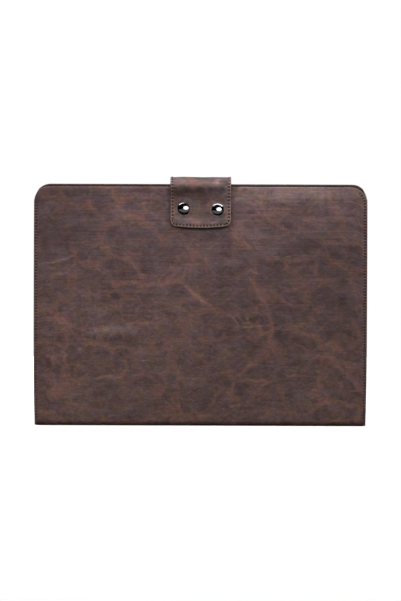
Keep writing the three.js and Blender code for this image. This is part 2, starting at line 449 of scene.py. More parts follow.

# Creases, patches and shades of the front panel, charted one by one.
FRONT_CREASES = (
    Crease(RUST, 2.3, 0.95, ((-21, 143), (-11, 137), (-7, 131), (1, 126), (8, 121), (23, 115))),
    Crease(RUST, 1.3, 0.65, ((19, 117), (32, 108), (40, 100))),
    Crease(RUST, 1.1, 0.6, ((38, 100), (56, 101), (70, 99), (81, 98))),
    Crease(RUST, 1.9, 0.6, ((84, 98), (97, 96), (110, 91), (122, 89))),
    Crease(PALE, 1.3, 0.42, ((-20, 142), (-9, 134), (1, 126), (9, 120))),
    Crease(PALE, 0.7, 0.35, ((24, 114), (32, 108), (40, 100), (56, 101), (82, 97))),
    Crease(
        RUST, 2.2, 0.55, ((-111, 146), (-91, 143), (-71, 143), (-39, 142), (-24, 147), (-8, 155), (-15, 165))
    ),
    Crease(RUST, 3.4, 0.55, ((45, 152), (54, 141), (61, 130), (66, 123))),
    Crease(RUST, 2.4, 0.7, ((66, 123), (70, 111), (71, 99), (71, 87), (77, 74), (85, 58))),
    Crease(RUST, 1.8, 0.5, ((80, 134), (95, 140), (112, 146), (140, 146))),
    Crease(RUST, 3, 0.55, ((116, 169), (114, 160), (115, 149))),
    Crease(RUST, 2.6, 0.75, ((104, 60), (116, 68), (128, 74), (134, 66), (142, 57), (152, 50))),
    Crease(RUST, 2.2, 0.6, ((152, 112), (158, 98), (160, 84))),
    Crease(PALE, 1, 0.4, ((136, 64), (141, 58), (146, 53))),
    Crease(RUST, 1.6, 0.8, ((45, 48), (60, 46), (70, 45))),
    Crease(RUST, 1.5, 0.6, ((-75, 71), (-72, 58), (-84, 46))),
    Crease(RUST, 1.8, 0.6, ((-8, 74), (4, 70))),
    Crease(RUST, 1.4, 0.5, ((17, 71), (32, 81))),
    Crease(RUST, 2, 0.5, ((85, 48), (112, 53))),
    Crease(RUST, 1.5, 0.5, ((60, 18), (70, 15))),
    Crease(RUST, 3, 0.5, ((-156, 70), (-141, 69))),
    Crease(RUST, 2, 0.4, ((-132, 69), (-121, 67))),
    Crease(RUST, 2.5, 0.35, ((-131, 43), (-106, 50))),
    Crease(RUST, 2, 0.45, ((-149, 214), (-132, 221))),
    Crease(RUST, 2.5, 0.5, ((-139, 237), (-137, 226))),
    Crease(RUST, 2.5, 0.35, ((-45, 192), (-30, 190))),
    Crease(PALE, 1.3, 0.45, ((-165, 160), (-141, 166), (-120, 171))),
    Crease(PALE, 1.1, 0.35, ((-150, 150), (-134, 155), (-122, 162))),
    # A painted highlight on the top of a soft fold low on the left.
    Crease(PALE, 2.2, 0.3, ((-111, 46), (-96, 49), (-71, 50))),
    Crease(PALE, 1.3, 0.3, ((-61, 65), (-49, 66))),
    Crease(PALE, 1.2, 0.3, ((-124, 38), (-116, 28))),
    Crease(PALE, 1, 0.35, ((75, 170), (100, 172))),
    Crease(PALE, 1, 0.25, ((4, 30), (40, 18))),
    Crease(PALE, 1, 0.35, ((105, 20), (112, 25))),
    Crease(PALE, 1, 0.3, ((55, 226), (62, 219))),
    # Painted shade just under a soft fold on the left.
    Crease(DARK, 2.5, 0.5, ((-141, 89), (-114, 88), (-74, 86), (-51, 88))),
)
FRONT_PATCHES = (
    Patch(RUST, -144, 152, 8, 4, 15, 0.5),
    Patch(RUST, 14, 117, 8, 4, -20, 0.6),
    Patch(RUST, 2, 88, 4, 4, 0, 0.5),
    Patch(RUST, -23, 86, 7, 3, 0, 0.45),
    Patch(RUST, 93, 137, 5, 3, 0, 0.5),
    Patch(RUST, -18, 106, 10, 5, 15, 0.55),
    Patch(RUST, -61, 104, 7, 4, 10, 0.4),
    Patch(RUST, 138, 164, 10, 4, 8, 0.55),
    Patch(RUST, 141, 190, 6, 4, 0, 0.5),
    Patch(RUST, 135, 79, 9, 5.5, -25, 0.7),
    Patch(RUST, -55, 222, 3, 8, 0, 0.6),
    Patch(RUST, -121, 222, 10, 3, -5, 0.55),
    Patch(RUST, -81, 119, 7, 3, 0, 0.4),
    Patch(RUST, -44, 34, 10, 4, 10, 0.35),
    Patch(RUST, 130, 25, 9, 4, -10, 0.4),
    Patch(DARK, -88, 129, 12, 5, 10, 0.8),
    Patch(DARK, -132, 161, 14, 4, 15, 0.4),
    Patch(DARK, 141, 126, 7, 9, 0, 0.7),
    Patch(DARK, 135, 92, 9, 4, -20, 0.7),
    Patch(DARK, 52, 88, 9, 6, 0, 0.7),
    Patch(DARK, -23, 65, 8, 5, 0, 0.7),
    Patch(DARK, -104, 32, 7, 4, 20, 0.5),
    Patch(DARK, 97, 63, 9, 5, 0, 0.6),
    Patch(DARK, 18, 92, 10, 6, 0, 0.5),
    Patch(DARK, -133, 60, 9, 5, 0, 0.5),
    Patch(DARK, 83, 163, 22, 5, -3, 0.55),
    Patch(DARK, -158, 182, 8, 6, 0, 0.4),
    Patch(DARK, 83, 201, 14, 5, 0, 0.5),
    Patch(DARK, -31, 164, 12, 4, 0, 0.4),
    Patch(DARK, 100, 122, 8, 6, 0, 0.4),
    Patch(DARK, 128, 128, 34, 46, 0, 0.3),
    Patch(DARK, -158, 226, 10, 10, 0, 0.3),
    # A painted highlight on the top of that soft fold on the left.
    Patch(PALE, -88, 96, 26, 6, 3, 0.4),
    # A painted sheen along the top right of the front.
    Patch(PALE, 92, 234, 78, 9, 0, 0.55),
)
# Broad shades of the front: partly the leather's own tone, partly painted light and shade, darker at the top
# left and round soft folds.
FRONT_TONES_AND_PAINTED_LIGHT = (
    Shade(-150, 205, 40, 60, -0.27),
    Shade(-135, 240, 50, 12, -0.16),
    Shade(-90, 184, 40, 16, -0.12),
    Shade(-105, 98, 60, 32, 0.18),
    Shade(-145, 28, 42, 42, 0.2),
    Shade(36, 192, 34, 50, 0.22),
    Shade(140, 146, 46, 56, -0.24),
    Shade(84, 140, 46, 52, -0.16),
    Shade(158, 135, 14, 50, -0.1),
    Shade(8, 108, 32, 14, -0.18),
    Shade(110, 183, 50, 14, -0.14),
    Shade(-90, 134, 34, 12, -0.14),
    Shade(145, 86, 40, 36, -0.1),
    Shade(30, 34, 60, 30, 0.08),
    # Painted shade of a soft fold high on the left, and a painted sheen just above it.
    Shade(-100, 195, 56, 6, -0.14),
    Shade(-85, 208, 22, 6, 0.12),
    # Painted highlights on the tops of two soft folds low on the left, and painted shade just under each.
    Shade(-100, 97, 44, 6, 0.14),
    Shade(-96, 86, 46, 4, -0.14),
    Shade(-84, 51, 24, 4, 0.14),
    Shade(-88, 44, 28, 4, -0.12),
)
FRONT_CHART = Chart(FRONT_CREASES, FRONT_PATCHES, FRONT_TONES_AND_PAINTED_LIGHT)

# The same for the front of the tab.
TAB_CREASES = (
    Crease(RUST, 1.6, 0.5, ((4, 232), (12, 225), (18, 220))),
    Crease(RUST, 1.6, 0.65, ((-5, 235), (-2, 227), (-2, 219), (-5, 213))),
    Crease(RUST, 1.6, 0.65, ((15, 237), (12, 230), (8, 224), (4, 218))),
    Crease(PALE, 1.2, 0.3, ((-20, 203), (-4, 205))),
)
TAB_PATCHES = (
    # A painted highlight on the lit top of the fold.
    Patch(PALE, 15, 244, 4, 3.5, 0, 0.45),
    Patch(RUST, 14, 242, 6, 3, 0, 0.4),
    # A painted shadow band under the bulge where the tab turns down over the mouth.
    Patch(DARK, -4, 237.5, 23, 3.6, 0, 0.7),
    Patch(DARK, 22, 238, 4, 3.5, 0, 0.6),
    Patch(RUST, -21, 233, 6, 2.5, 0, 0.45),
    Patch(RUST, 0, 229, 10, 3, 0, 0.35),
    Patch(RUST, 16, 228, 8, 4, 0, 0.4),
    Patch(RUST, -4, 216, 7, 5, 0, 0.35),
    Patch(RUST, 7, 221, 4, 4, 0, 0.4),
    Patch(RUST, 28, 214, 3, 9, 0, 0.4),
    Patch(RUST, -28, 218, 3, 12, 0, 0.4),
    Patch(PALE, 0, 204, 26, 4, 0, 0.3),
)
# Broad painted light and shade of the tab: painted shadow under the bulge and between the caps, painted
# highlights along the top of the fold, down the right and near the free end.
TAB_PAINTED_LIGHT_AND_SHADE = (
    Shade(-7, 236, 24, 5.5, -0.52),
    Shade(-23, 235, 9, 7, -0.32),
    Shade(-10, 224, 20, 8, -0.28),
    Shade(2, 213, 12, 5, -0.22),
    Shade(25, 221, 7, 14, 0.42),
    Shade(27, 231, 7, 6, 0.34),
    Shade(14, 205, 11, 5, 0.15),
    Shade(-22, 208, 9, 4, 0.18),
    Shade(4, 205, 30, 2.5, 0.1),
    Shade(5, 242, 15, 2.2, 0.18),
    Shade(23, 246, 9, 4, 0.42),
    Shade(-22, 246, 9, 3.5, 0.35),
    Shade(2, 248, 14, 2.5, -0.22),
)
TAB_CHART = Chart(TAB_CREASES, TAB_PATCHES, TAB_PAINTED_LIGHT_AND_SHADE)


@dataclass(frozen=True)
class Noise:
    """Uneven noise between 0 and 1."""

    size: float  # of its largest features, in the units of the places it is read at
    detail: float  # how many finer layers it has
    roughness: float = 0.5  # how strong the finer layers are
    distortion: float = 0.0  # how much it is stirred


class Bench:
    """Adds shader nodes to one material and wires them together."""

    def __init__(self, name: str) -> None:
        """Starts a material with a shader and nothing wired to it.

        Args:
            name: Name of the material.
        """
        self.material = bpy.data.materials.new(name)
        self.material.use_nodes = True
        self.tree = self.material.node_tree
        self.shader = self.tree.nodes["Principled BSDF"]

    def feed(self, socket: Socket, value: Fed) -> None:
        """Links a socket to another node, or sets its constant.

        Args:
            socket: The socket that is fed.
            value: The output to link, or the constant.
        """
        if isinstance(value, Socket):
            self.tree.links.new(value, socket)
        elif isinstance(value, tuple) and socket.type == "RGBA":
            socket.default_value = (*value, 1.0)
        else:
            socket.default_value = value

    def add(self, kind: str, inputs: dict[str | int, Fed], **settings: str | bool) -> bpy.types.Node:
        """Adds one node.

        Args:
            kind: Its type, without the leading ShaderNode.
            inputs: What goes into its sockets, by name or number.
            **settings: Its own properties.

        Returns:
            The node.
        """
        node = self.tree.nodes.new(f"ShaderNode{kind}")
        for name, value in settings.items():
            setattr(node, name, value)
        for key, value in inputs.items():
            self.feed(node.inputs[key], value)
        return node

    def attribute(self, name: str) -> Socket:
        """Reads a vector that the mesh holds at each point."""
        return self.add("Attribute", {}, attribute_name=name).outputs["Vector"]

    def parts(self, vector: Fed) -> list[Socket]:
        """Splits a vector into its three parts."""
        return list(self.add("SeparateXYZ", {0: vector}).outputs)

    def math(self, operation: str, *values: Fed) -> Socket:
        """Works out one step of arithmetic on up to three values."""
        return self.add("Math", dict(enumerate(values)), operation=operation).outputs[0]

    def vector(self, operation: str, *vectors: Fed) -> Socket:
        """Works out one step of arithmetic on up to three vectors, part by part."""
        return self.add("VectorMath", dict(enumerate(vectors)), operation=operation).outputs[0]

    def texture(self, vector: Fed, noise: Noise) -> bpy.types.Node:
        """Adds a noise.

        Args:
            vector: Where it is read.
            noise: The noise.

        Returns:
            The node, with one noise as its first output and three as its colour.
        """
        inputs = {
            "Vector": vector,
            "Scale": 1 / noise.size,
            "Detail": noise.detail,
            "Roughness": noise.roughness,
            "Distortion": noise.distortion,
        }
        return self.add("TexNoise", inputs, noise_dimensions="2D")

    def noise(self, vector: Fed, noise: Noise) -> Socket:
        """Reads one noise."""
        return self.texture(vector, noise).outputs[0]

    def stirred(self, vector: Fed, size: float, amount: float) -> Socket:
        """Moves places about unevenly.

        Args:
            vector: The places.
            size: Size of the movement's features.
            amount: How far places move at most.

        Returns:
            The moved places.
        """
        noise = self.texture(vector, Noise(size, 2.0)).outputs["Color"]
        twice = (2 * amount, 2 * amount, 2 * amount)
        back = (-amount, -amount, -amount)
        return self.vector("ADD", vector, self.vector("MULTIPLY_ADD", noise, twice, back))

    def remap(self, value: Fed, span: Span, onto: Span = (0.0, 1.0)) -> Socket:
        """Maps a value from one span onto another and keeps it there."""
        ends = dict(zip(("From Min", "From Max", "To Min", "To Max"), (*span, *onto)))
        return self.add("MapRange", {"Value": value, **ends}).outputs["Result"]

    def sum(self, *terms: tuple[Fed, float]) -> Socket:
        """Adds up values, each with its own weight.

        Args:
            *terms: Pairs of a value and its weight.

        Returns:
            The sum.
        """
        total: Fed = 0.0
        for value, weight in terms:
            total = self.math("MULTIPLY_ADD", value, weight, total)
        return total

    def times(self, value: Fed, other: Fed) -> Socket:
        """Multiplies two values and keeps the result between 0 and 1."""
        return self.add("Math", {0: value, 1: other}, operation="MULTIPLY", use_clamp=True).outputs[0]

    def frayed(self, mark: Fed, fray: Fed, amount: float) -> Socket:
        """Gives a soft mark a ragged, crisper edge.

        Args:
            mark: How strong the mark is, 0 to 1.
            fray: Noise between 0 and 1.
            amount: How far the noise shifts the edge.

        Returns:
            The ragged mark, 0 to 1.
        """
        high_noise = 0.68
        edge = 0.5
        start = high_noise * amount
        return self.remap(self.sum((mark, 1.0), (fray, amount)), (start, start + edge))

    def patchy(self, vector: Fed, size: float, cover: float) -> Socket:
        """Gives 1 in patches with a soft edge and 0 in gaps; less cover leaves fewer gaps."""
        edge = 0.14
        return self.remap(self.noise(vector, Noise(size, 3, 0.55)), (cover, cover + edge))

    def blend(self, share: Fed, first: Fed, second: Fed) -> Socket:
        """Mixes two colours by the share of the second one."""
        return self.add("Mix", {0: share, 6: first, 7: second}, data_type="RGBA").outputs[2]

    def toned(self, colour: Fed, value: Fed) -> Socket:
        """Makes a colour lighter or darker."""
        return self.add("HueSaturation", {"Color": colour, "Value": value}).outputs[0]

    def bump(self, height: Fed, depth: float, strength: float) -> None:
        """Roughens the surface by heights from 0 to 1, where 1 stands for a depth in millimetres."""
        node = self.add("Bump", {"Height": height, "Distance": depth * MM, "Strength": strength})
        self.feed(self.shader.inputs["Normal"], node.outputs["Normal"])

    def finish(self, **inputs: Fed) -> Material:
        """Feeds the shader and hands over the material.

        Args:
            **inputs: The shader's sockets, in lower case with underscores.

        Returns:
            The material.
        """
        sockets = {socket.name.lower().replace(" ", "_"): socket for socket in self.shader.inputs}
        for name, value in inputs.items():
            self.feed(sockets[name], value)
        return self.material


@dataclass(frozen=True)
class Web:
    """A broken web of creases."""

    size: float  # of its meshes
    half_width: float  # of a crease
    cover: float  # level of a broad noise above which the creases show; less covers more

    def drawn(self, bench: Bench, flat: Fed) -> Socket:
        """Draws the web on uneven cells, whose edges are bent twice.

        Args:
            bench: Where the nodes go.
            flat: Place on the flat sheet.

        Returns:
            1 on a crease and 0 away from it.
        """
        bent = bench.stirred(flat, size=self.size * 1.2, amount=self.size * 0.7)
        bent = bench.stirred(bent, size=self.size * 0.2, amount=self.size * 0.1)
        inputs = {"Vector": bent, "Scale": 1 / self.size}
        cells = bench.add("TexVoronoi", inputs, feature="DISTANCE_TO_EDGE", voronoi_dimensions="2D")
        lines = bench.remap(cells.outputs[0], (0.0, self.half_width / self.size), (1.0, 0.0))
        return bench.times(lines, bench.patchy(flat, self.size * 1.3, self.cover))


@dataclass(frozen=True)
class Veins:
    """Long winding veins, with gaps."""

    size: float  # of their bends
    width: float  # how far off the middle level of a noise a vein reaches
    cover: float  # level of a broad noise above which the veins show; less covers more

    def drawn(self, bench: Bench, flat: Fed) -> Socket:
        """Draws the veins along the middle level of an uneven noise.

        Args:
            bench: Where the nodes go.
            flat: Place on the flat sheet.

        Returns:
            1 on a vein and 0 away from it.
        """
        bent = bench.stirred(flat, size=self.size * 0.25, amount=self.size * 0.08)
        level = bench.noise(bent, Noise(self.size, 2, 0.45))
        apart = bench.math("ABSOLUTE", bench.math("SUBTRACT", level, 0.5))
        lines = bench.remap(apart, (0.0, self.width), (1.0, 0.0))
        return bench.times(lines, bench.patchy(flat, self.size * 0.8, self.cover))


@dataclass(frozen=True)
class DistressedLeather:
    """Pull-up leather: mottled dark brown with rusty veins and creases, pale scuffs, and some painted light
    and shade.
    """

    name: str
    plum: Colour = linear(69, 52, 53)
    brown: Colour = linear(86, 67, 66)
    tan: Colour = linear(106, 87, 86)
    rust: Colour = linear(111, 80, 73)
    pale: Colour = linear(150, 126, 119)
    hole: Colour = linear(24, 15, 14)  # painted shade in the dimple where the leather is drawn in under a stitch
    cloud: Noise = Noise(60, 3, 0.55)
    mottle: Noise = Noise(10, 9, 0.72, 0.3)
    patch: Noise = Noise(22, 6, 0.62, 0.8)
    fray: Noise = Noise(4.5, 6, 0.7)
    fleck: Noise = Noise(2.4, 5, 0.72)
    fibre: Noise = Noise(1.0, 4, 0.65)
    line: Noise = Noise(1.0, 1)
    drift: Noise = Noise(12.2, 3)
    broad_web: Web = Web(38, 5.5, 0.38)
    fine_web: Web = Web(17, 1.9, 0.40)
    hair_web: Web = Web(30, 0.6, 0.42)
    veins: Veins = Veins(34, 0.035, 0.42)
    # How much each pattern is squeezed across and down the sheet, so less makes it longer.
    mottle_squeeze: Place = (0.62, 1.0, 1.0)
    web_squeeze: Place = (0.85, 1.0, 1.0)
    vein_squeeze: Place = (0.6, 1.0, 1.0)
    fibre_squeeze: Place = (0.13, 0.5, 1.0)
    line_squeeze: Place = (0.012, 0.55, 1.0)
    line_fade: Span = (60, 170)  # down the sheet, where the level lines grow faint
    vein_rise: Span = (30, 120)  # down the sheet, where the veins grow strong
    faint: float = 0.4  # share that is left of lines and veins where they are faint
    grain: float = 1.3
    specular: float = 0.25
    red_drift: float = 0.36  # how much the red of the dye drifts from place to place
    blue_drift: float = 0.66
    blue_fall: float = 0.05  # more blue near the mouth and less near the base, as a share
    blue_fall_span: Span = (20, 235)

    def drifted(self, bench: Bench, place: Fed, colour: Fed) -> Socket:
        """Lets the dye drift between wine red, olive and plum, and makes the leather bluer towards the
        mouth.

        Args:
            bench: Where the nodes go.
            place: Place on the flat sheet.
            colour: Colour of the leather.

        Returns:
            The new colour.
        """
        drift = bench.texture(place, self.drift).outputs["Color"]
        blue = 1 - self.blue_drift / 2
        ends = (blue + self.blue_fall, blue - self.blue_fall)
        fall = bench.remap(bench.parts(place)[1], self.blue_fall_span, ends)
        least = bench.add("CombineXYZ", {0: 1 - self.red_drift / 2, 1: 1.0, 2: fall}).outputs[0]
        amount = (self.red_drift, 0.0, self.blue_drift)
        return bench.vector("MULTIPLY", colour, bench.vector("MULTIPLY_ADD", drift, amount, least))

    def sewn(self, bench: Bench, colour: Fed) -> tuple[Socket, Socket]:
        """Paints shade into the dimples under the stitches, and paints highlights on the puckered leather
        between them.

        Args:
            bench: Where the nodes go.
            colour: Colour of the leather.

        Returns:
            The new colour, and how deep the leather is drawn in.
        """
        offset, phase, pull = bench.parts(bench.attribute("sewn"))
        apart = bench.math("ABSOLUTE", offset)
        beside = bench.times(bench.remap(apart, (0.25, 1.0), (1.0, 0.0)), pull)
        wave = bench.math("COSINE", bench.math("MULTIPLY", phase, 2 * math.pi))
        # Painted shade in each dimple, and a painted highlight on the puckered leather between stitches.
        pulled = bench.times(beside, bench.remap(wave, (-0.6, 0.1), (0.0, 0.85)))
        bead_highlight = bench.times(beside, bench.remap(wave, (-0.95, -0.5), (0.55, 0.0)))
        colour = bench.blend(pulled, colour, self.hole)
        return bench.blend(bead_highlight, colour, self.pale), pulled

    def material(self) -> Material:
        """Makes the material from the marks and flat places that the mesh holds.

        Returns:
            The material.
        """
        bench = Bench(self.name)
        place = bench.attribute("flat")
        down = bench.parts(place)[1]

        def squeezed(squeeze: Place) -> Socket:
            """Squeezes the flat places, so that a pattern read there grows longer."""
            return bench.vector("MULTIPLY", place, squeeze)

        flat = squeezed(self.mottle_squeeze)
        wide = squeezed(self.web_squeeze)
        rust_mark, pale_mark, dark_mark = bench.parts(bench.attribute("wear"))
        tone = bench.sum((bench.noise(flat, self.cloud), 0.32), (bench.noise(flat, self.mottle), 0.68))
        patch = bench.noise(flat, self.patch)
        fray = bench.noise(flat, self.fray)
        fleck = bench.noise(flat, self.fleck)
        fibre = bench.noise(squeezed(self.fibre_squeeze), self.fibre)
        fading = bench.remap(down, self.line_fade, (1.0, self.faint))
        lined = bench.times(bench.noise(squeezed(self.line_squeeze), self.line), fading)
        broad_web = self.broad_web.drawn(bench, wide)
        fine_web = self.fine_web.drawn(bench, wide)
        hair = self.hair_web.drawn(bench, wide)
        veins = self.veins.drawn(bench, squeezed(self.vein_squeeze))
        rising = bench.remap(down, self.vein_rise, (self.faint, 1.0))

        colour = bench.blend(bench.remap(tone, (0.33, 0.5)), self.plum, self.brown)
        colour = bench.blend(bench.remap(tone, (0.5, 0.7), (0.0, 0.8)), colour, self.tan)
        # Dark marks: the dye's own, and some painted shade.
        colour = bench.blend(bench.frayed(dark_mark, fray, 0.7), colour, self.plum)
        rust = bench.sum(
            (bench.frayed(rust_mark, fray, 0.8), 0.5),
            (rust_mark, 0.7),
            (bench.frayed(broad_web, fray, 0.9), 0.5),
            (bench.times(bench.frayed(fine_web, fray, 0.9), rising), 0.25),
            (bench.times(bench.frayed(veins, fray, 0.9), rising), 0.5),
            (bench.remap(patch, (0.54, 0.7)), 0.2),
        )
        colour = bench.blend(rust, colour, self.rust)
        # Pale marks: scuffs and rubbed edges, and some painted highlights and sheen.
        pale = bench.sum((bench.frayed(pale_mark, fray, 0.6), 0.5), (bench.frayed(hair, fray, 0.6), 0.13))
        colour = bench.blend(pale, colour, self.pale)
        light = bench.sum((fleck, 0.45), (fibre, 0.28), (lined, 0.27))
        light = bench.remap(light, (0.3, 0.6), (0.68, 1.32))
        # Broad shades: partly the leather's tone, partly painted light and shade.
        shade = bench.parts(bench.attribute("shade"))[0]
        light = bench.math("MULTIPLY_ADD", light, shade, light)
        colour, pulled = self.sewn(bench, bench.toned(self.drifted(bench, place, colour), light))

        pores = {"Vector": place, "Scale": 1 / self.grain}
        grain = bench.add("TexVoronoi", pores, feature="SMOOTH_F1").outputs[0]
        height = bench.sum(
            (grain, 0.35), (fleck, 0.4), (fine_web, -0.3), (hair, 0.2), (lined, 0.25), (pulled, -1.0)
        )
        bench.bump(height, depth=0.4, strength=0.6)
        return bench.finish(
            base_color=colour,
            roughness=bench.remap(tone, (0.35, 0.65), (0.6, 0.48)),
            specular_ior_level=self.specular,
        )


@dataclass(frozen=True)
class Suede:
    """The rough inner face of the leather."""

    name: str = "suede_inside"
    dark: Colour = linear(44, 33, 30)
    light: Colour = linear(70, 54, 48)
    nap: Noise = Noise(1.1, 4, 0.7)
    cloud: Noise = Noise(24, 3)

    def material(self) -> Material:
        """Makes the material with a short nap.

        Returns:
            The material.
        """
        bench = Bench(self.name)
        flat = bench.attribute("flat")
        nap = bench.noise(flat, self.nap)
        tone = bench.sum((nap, 0.5), (bench.noise(flat, self.cloud), 0.5))
        bench.bump(nap, depth=0.4, strength=0.5)
        return bench.finish(
            base_color=bench.blend(bench.remap(tone, (0.35, 0.65)), self.dark, self.light),
            roughness=bench.remap(nap, (0.3, 0.7), (0.85, 0.97)),
            specular_ior_level=0.15,
        )


@dataclass(frozen=True)
class EdgePaint:
    """Dark paint on the cut edges, a little uneven and worn."""

    name: str
    dark: Colour
    worn: Colour
    wear: Noise = Noise(5, 5, 0.65)
    pits: Noise = Noise(0.8, 3, 0.6)

    def material(self) -> Material:
        """Makes the material.

        Returns:
            The material.
        """
        bench = Bench(self.name)
        flat = bench.attribute("flat")
        wear = bench.noise(flat, self.wear)
        bench.bump(bench.noise(flat, self.pits), depth=0.2, strength=0.4)
        return bench.finish(
            base_color=bench.blend(bench.remap(wear, (0.45, 0.72)), self.dark, self.worn),
            roughness=bench.remap(wear, (0.35, 0.7), (0.4, 0.6)),
        )


@dataclass(frozen=True)
class WaxedThread:
    """Twisted sewing thread, waxed, dark red-brown."""

    name: str = "waxed_thread"
    dark: Colour = linear(26, 13, 11)
    light: Colour = linear(64, 34, 29)
    strands: float = 3.0

    def material(self) -> Material:
        """Makes the material from the lay of the strands that the mesh holds.

        Returns:
            The material.
        """
        bench = Bench(self.name)
        turn, shade, _ = bench.parts(bench.attribute("lay"))
        strand = bench.math("PINGPONG", bench.math("MULTIPLY", turn, self.strands), 1.0)
        bench.bump(strand, depth=0.15, strength=0.6)
        return bench.finish(
            base_color=bench.blend(bench.sum((strand, 0.55), (shade, 0.45)), self.dark, self.light),
            roughness=bench.remap(strand, (0.0, 1.0), (0.62, 0.45)),
            specular_ior_level=0.4,
        )


@dataclass(frozen=True)
class PlatedMetal:
    """Plated metal with fine wear in its polish."""

    name: str
    bright: Colour
    dim: Colour
    roughness: Span  # where the polish is good, and where it is hazy
    haze: Noise = Noise(2.5 * MM, 3, 0.6)
    scratch: Noise = Noise(0.9 * MM, 2)
    scratch_squeeze: Place = (1.0, 14.0, 1.0)

    def material(self) -> Material:
        """Makes the material.

        Returns:
            The material.
        """
        bench = Bench(self.name)
        across, _, up = bench.parts(bench.add("TexCoord", {}).outputs["Object"])
        place = bench.add("CombineXYZ", {0: across, 1: up}).outputs[0]
        haze = bench.noise(place, self.haze)
        hazy = (0.35, 0.7)
        scratch = bench.noise(bench.vector("MULTIPLY", place, self.scratch_squeeze), self.scratch)
        bench.bump(scratch, depth=0.02, strength=0.1)
        return bench.finish(
            base_color=bench.blend(bench.remap(haze, hazy), self.bright, self.dim),
            metallic=1.0,
            roughness=bench.remap(haze, hazy, self.roughness),
        )


@dataclass(frozen=True)
class StitchLine:
    """A line that stitches follow on a leather face."""

    points: Array
    normals: Array

    def length(self) -> float:
        """Measures the whole line."""
        return lengths_along(self.points)[-1]

    def at(self, distances: Array) -> tuple[Array, Array]:
        """Reads the line at some distances from its start.

        Args:
            distances: The distances.

        Returns:
            Points and unit normals there.
        """
        lengths = lengths_along(self.points)
        points, normals = (
            np.stack([np.interp(distances, lengths, values[:, axis]) for axis in range(3)], axis=-1)
            for values in (self.points, self.normals)
        )
        return points, unit(normals)

    def sunk(self, depth: float) -> "StitchLine":
        """Moves the line into the leather."""
        return StitchLine(self.points - self.normals * depth, self.normals)


@dataclass(frozen=True)
class Stitching:
    """Sewing thread in even stitches, and how it draws the leather in."""

    pitch: float
    share: float  # of the pitch that a stitch covers
    radius: float
    dimple: float  # how far beside a stitch the leather is drawn in
    least_pull: float  # how strongly it is drawn in at the lowest stitches, as a share
    pull_rise: Span  # heights between which this grows to the full pull
    seen: Place = (1.0, 1.0, 1.0)  # share of each axis in the distance beside a line
    near: float = 4.5  # how far from a line places beside it are noted
    reached: float = 1.5  # how many dimples beside a line the pull ends
    sample_step: float = 0.15
    lift: float = 0.1  # how far the middle of a stitch lies above the leather
    sink: float = 0.75  # how far its ends go in
    rings: int = 7
    sides: int = 6
    twist: float = 1.6  # turns of the strands in one stitch

    def count(self, line: StitchLine) -> int:
        """Counts the whole stitches that fill a line."""
        return int(line.length() // self.pitch)

    def pull(self, z: Array) -> Array:
        """How strongly the leather is drawn in at some heights."""
        return self.least_pull + (1 - self.least_pull) * smooth_step(z, *self.pull_rise)

    def samples(self, line: StitchLine) -> tuple[Array, Array, Array]:
        """Reads a line at close steps.

        Args:
            line: The line.

        Returns:
            Points of the line, the way beside it, and how many stitches past the first one each point is.
        """
        distances = np.arange(0, line.length(), self.sample_step)
        points, normals = line.at(distances)
        asides = unit(np.cross(normals, np.gradient(points, axis=0)) * self.seen)
        return points, asides, distances * self.count(line) / line.length() - 0.5

    def centres(self, line: StitchLine) -> tuple[Array, Array]:
        """Spaces stitches evenly over a line.

        Args:
            line: The line.

        Returns:
            The points along the middle of each stitch, and the way that the leather faces there.
        """
        count = self.count(line)
        middles = (np.arange(count) + 0.5) * line.length() / count
        span = np.linspace(-1, 1, self.rings)
        points, normals = line.at(middles[:, None] + span * self.pitch * self.share / 2)
        rise = self.lift - (self.lift + self.sink) * span**4
        return points + normals * rise[:, None], normals

    def build(self, name: str, lines: list[StitchLine], thread: Material, seed: int) -> Piece:
        """Makes all stitches of some lines as one mesh.

        Args:
            name: Name of the piece.
            lines: The lines.
            thread: Material of the thread.
            seed: Seed of how the stitches differ in shade.

        Returns:
            The piece.
        """
        centres, normals = (np.concatenate(parts) for parts in zip(*map(self.centres, lines)))
        along = unit(np.gradient(centres, axis=1))
        across = unit(np.cross(normals, along))
        upward = np.cross(along, across)
        turns = 2 * math.pi * np.arange(self.sides)[:, None] / self.sides
        ring = np.cos(turns) * across[:, :, None] + np.sin(turns) * upward[:, :, None]
        points = centres[:, :, None] + self.radius * ring

        ids = np.arange(points[..., 0].size).reshape(points.shape[:-1])
        ends = [*ids[:, 0, ::-1].tolist(), *ids[:, -1].tolist()]
        piece = new_piece(name, points.reshape(-1, 3), [*ring_walls(ids).tolist(), *ends], [thread])
        twisted = np.linspace(0, self.twist, self.rings)[:, None]
        lay = np.zeros_like(points)
        lay[..., 0] = twisted + np.arange(self.sides) / self.sides
        lay[..., 1] = np.random.default_rng(seed).uniform(0, 1, len(points))[:, None, None]
        hold(piece.data, "lay", lay.reshape(-1, 3))
        return piece


@dataclass(frozen=True)
class SheetFinish:
    """Materials of a sewn leather sheet."""

    leather: Material  # of the outer face
    paint: Material  # of the cut edges
    suede: Material  # of the inner face
    thread: Material


@dataclass(frozen=True)
class Rim:
    """Section of a cut leather edge, from the outer face round to the inner face.

    The outer face rolls over softly. The cut itself is painted, and its inner corner is only just broken.
    """

    roll: float = 0.55  # share of the thickness that the roll takes up
    roll_steps: int = 4
    leather_steps: int = 4  # of the roll, the steps that the paint leaves bare
    corner: float = 0.85  # share of the thickness where the inner corner begins
    corner_reach: float = 0.75  # share of the reach that is left on the inner face

    def section(self) -> list[Span]:
        """Works out the section.

        Returns:
            Its points as shares of the thickness and of the reach.
        """
        turns = np.linspace(0, math.pi / 2, self.roll_steps + 1)[1:]
        rolled = [(self.roll * (1 - math.cos(turn)), math.sin(turn)) for turn in turns]
        return [*rolled, (self.corner, 1.0), (1.0, self.corner_reach), (1.0, 0.0)]


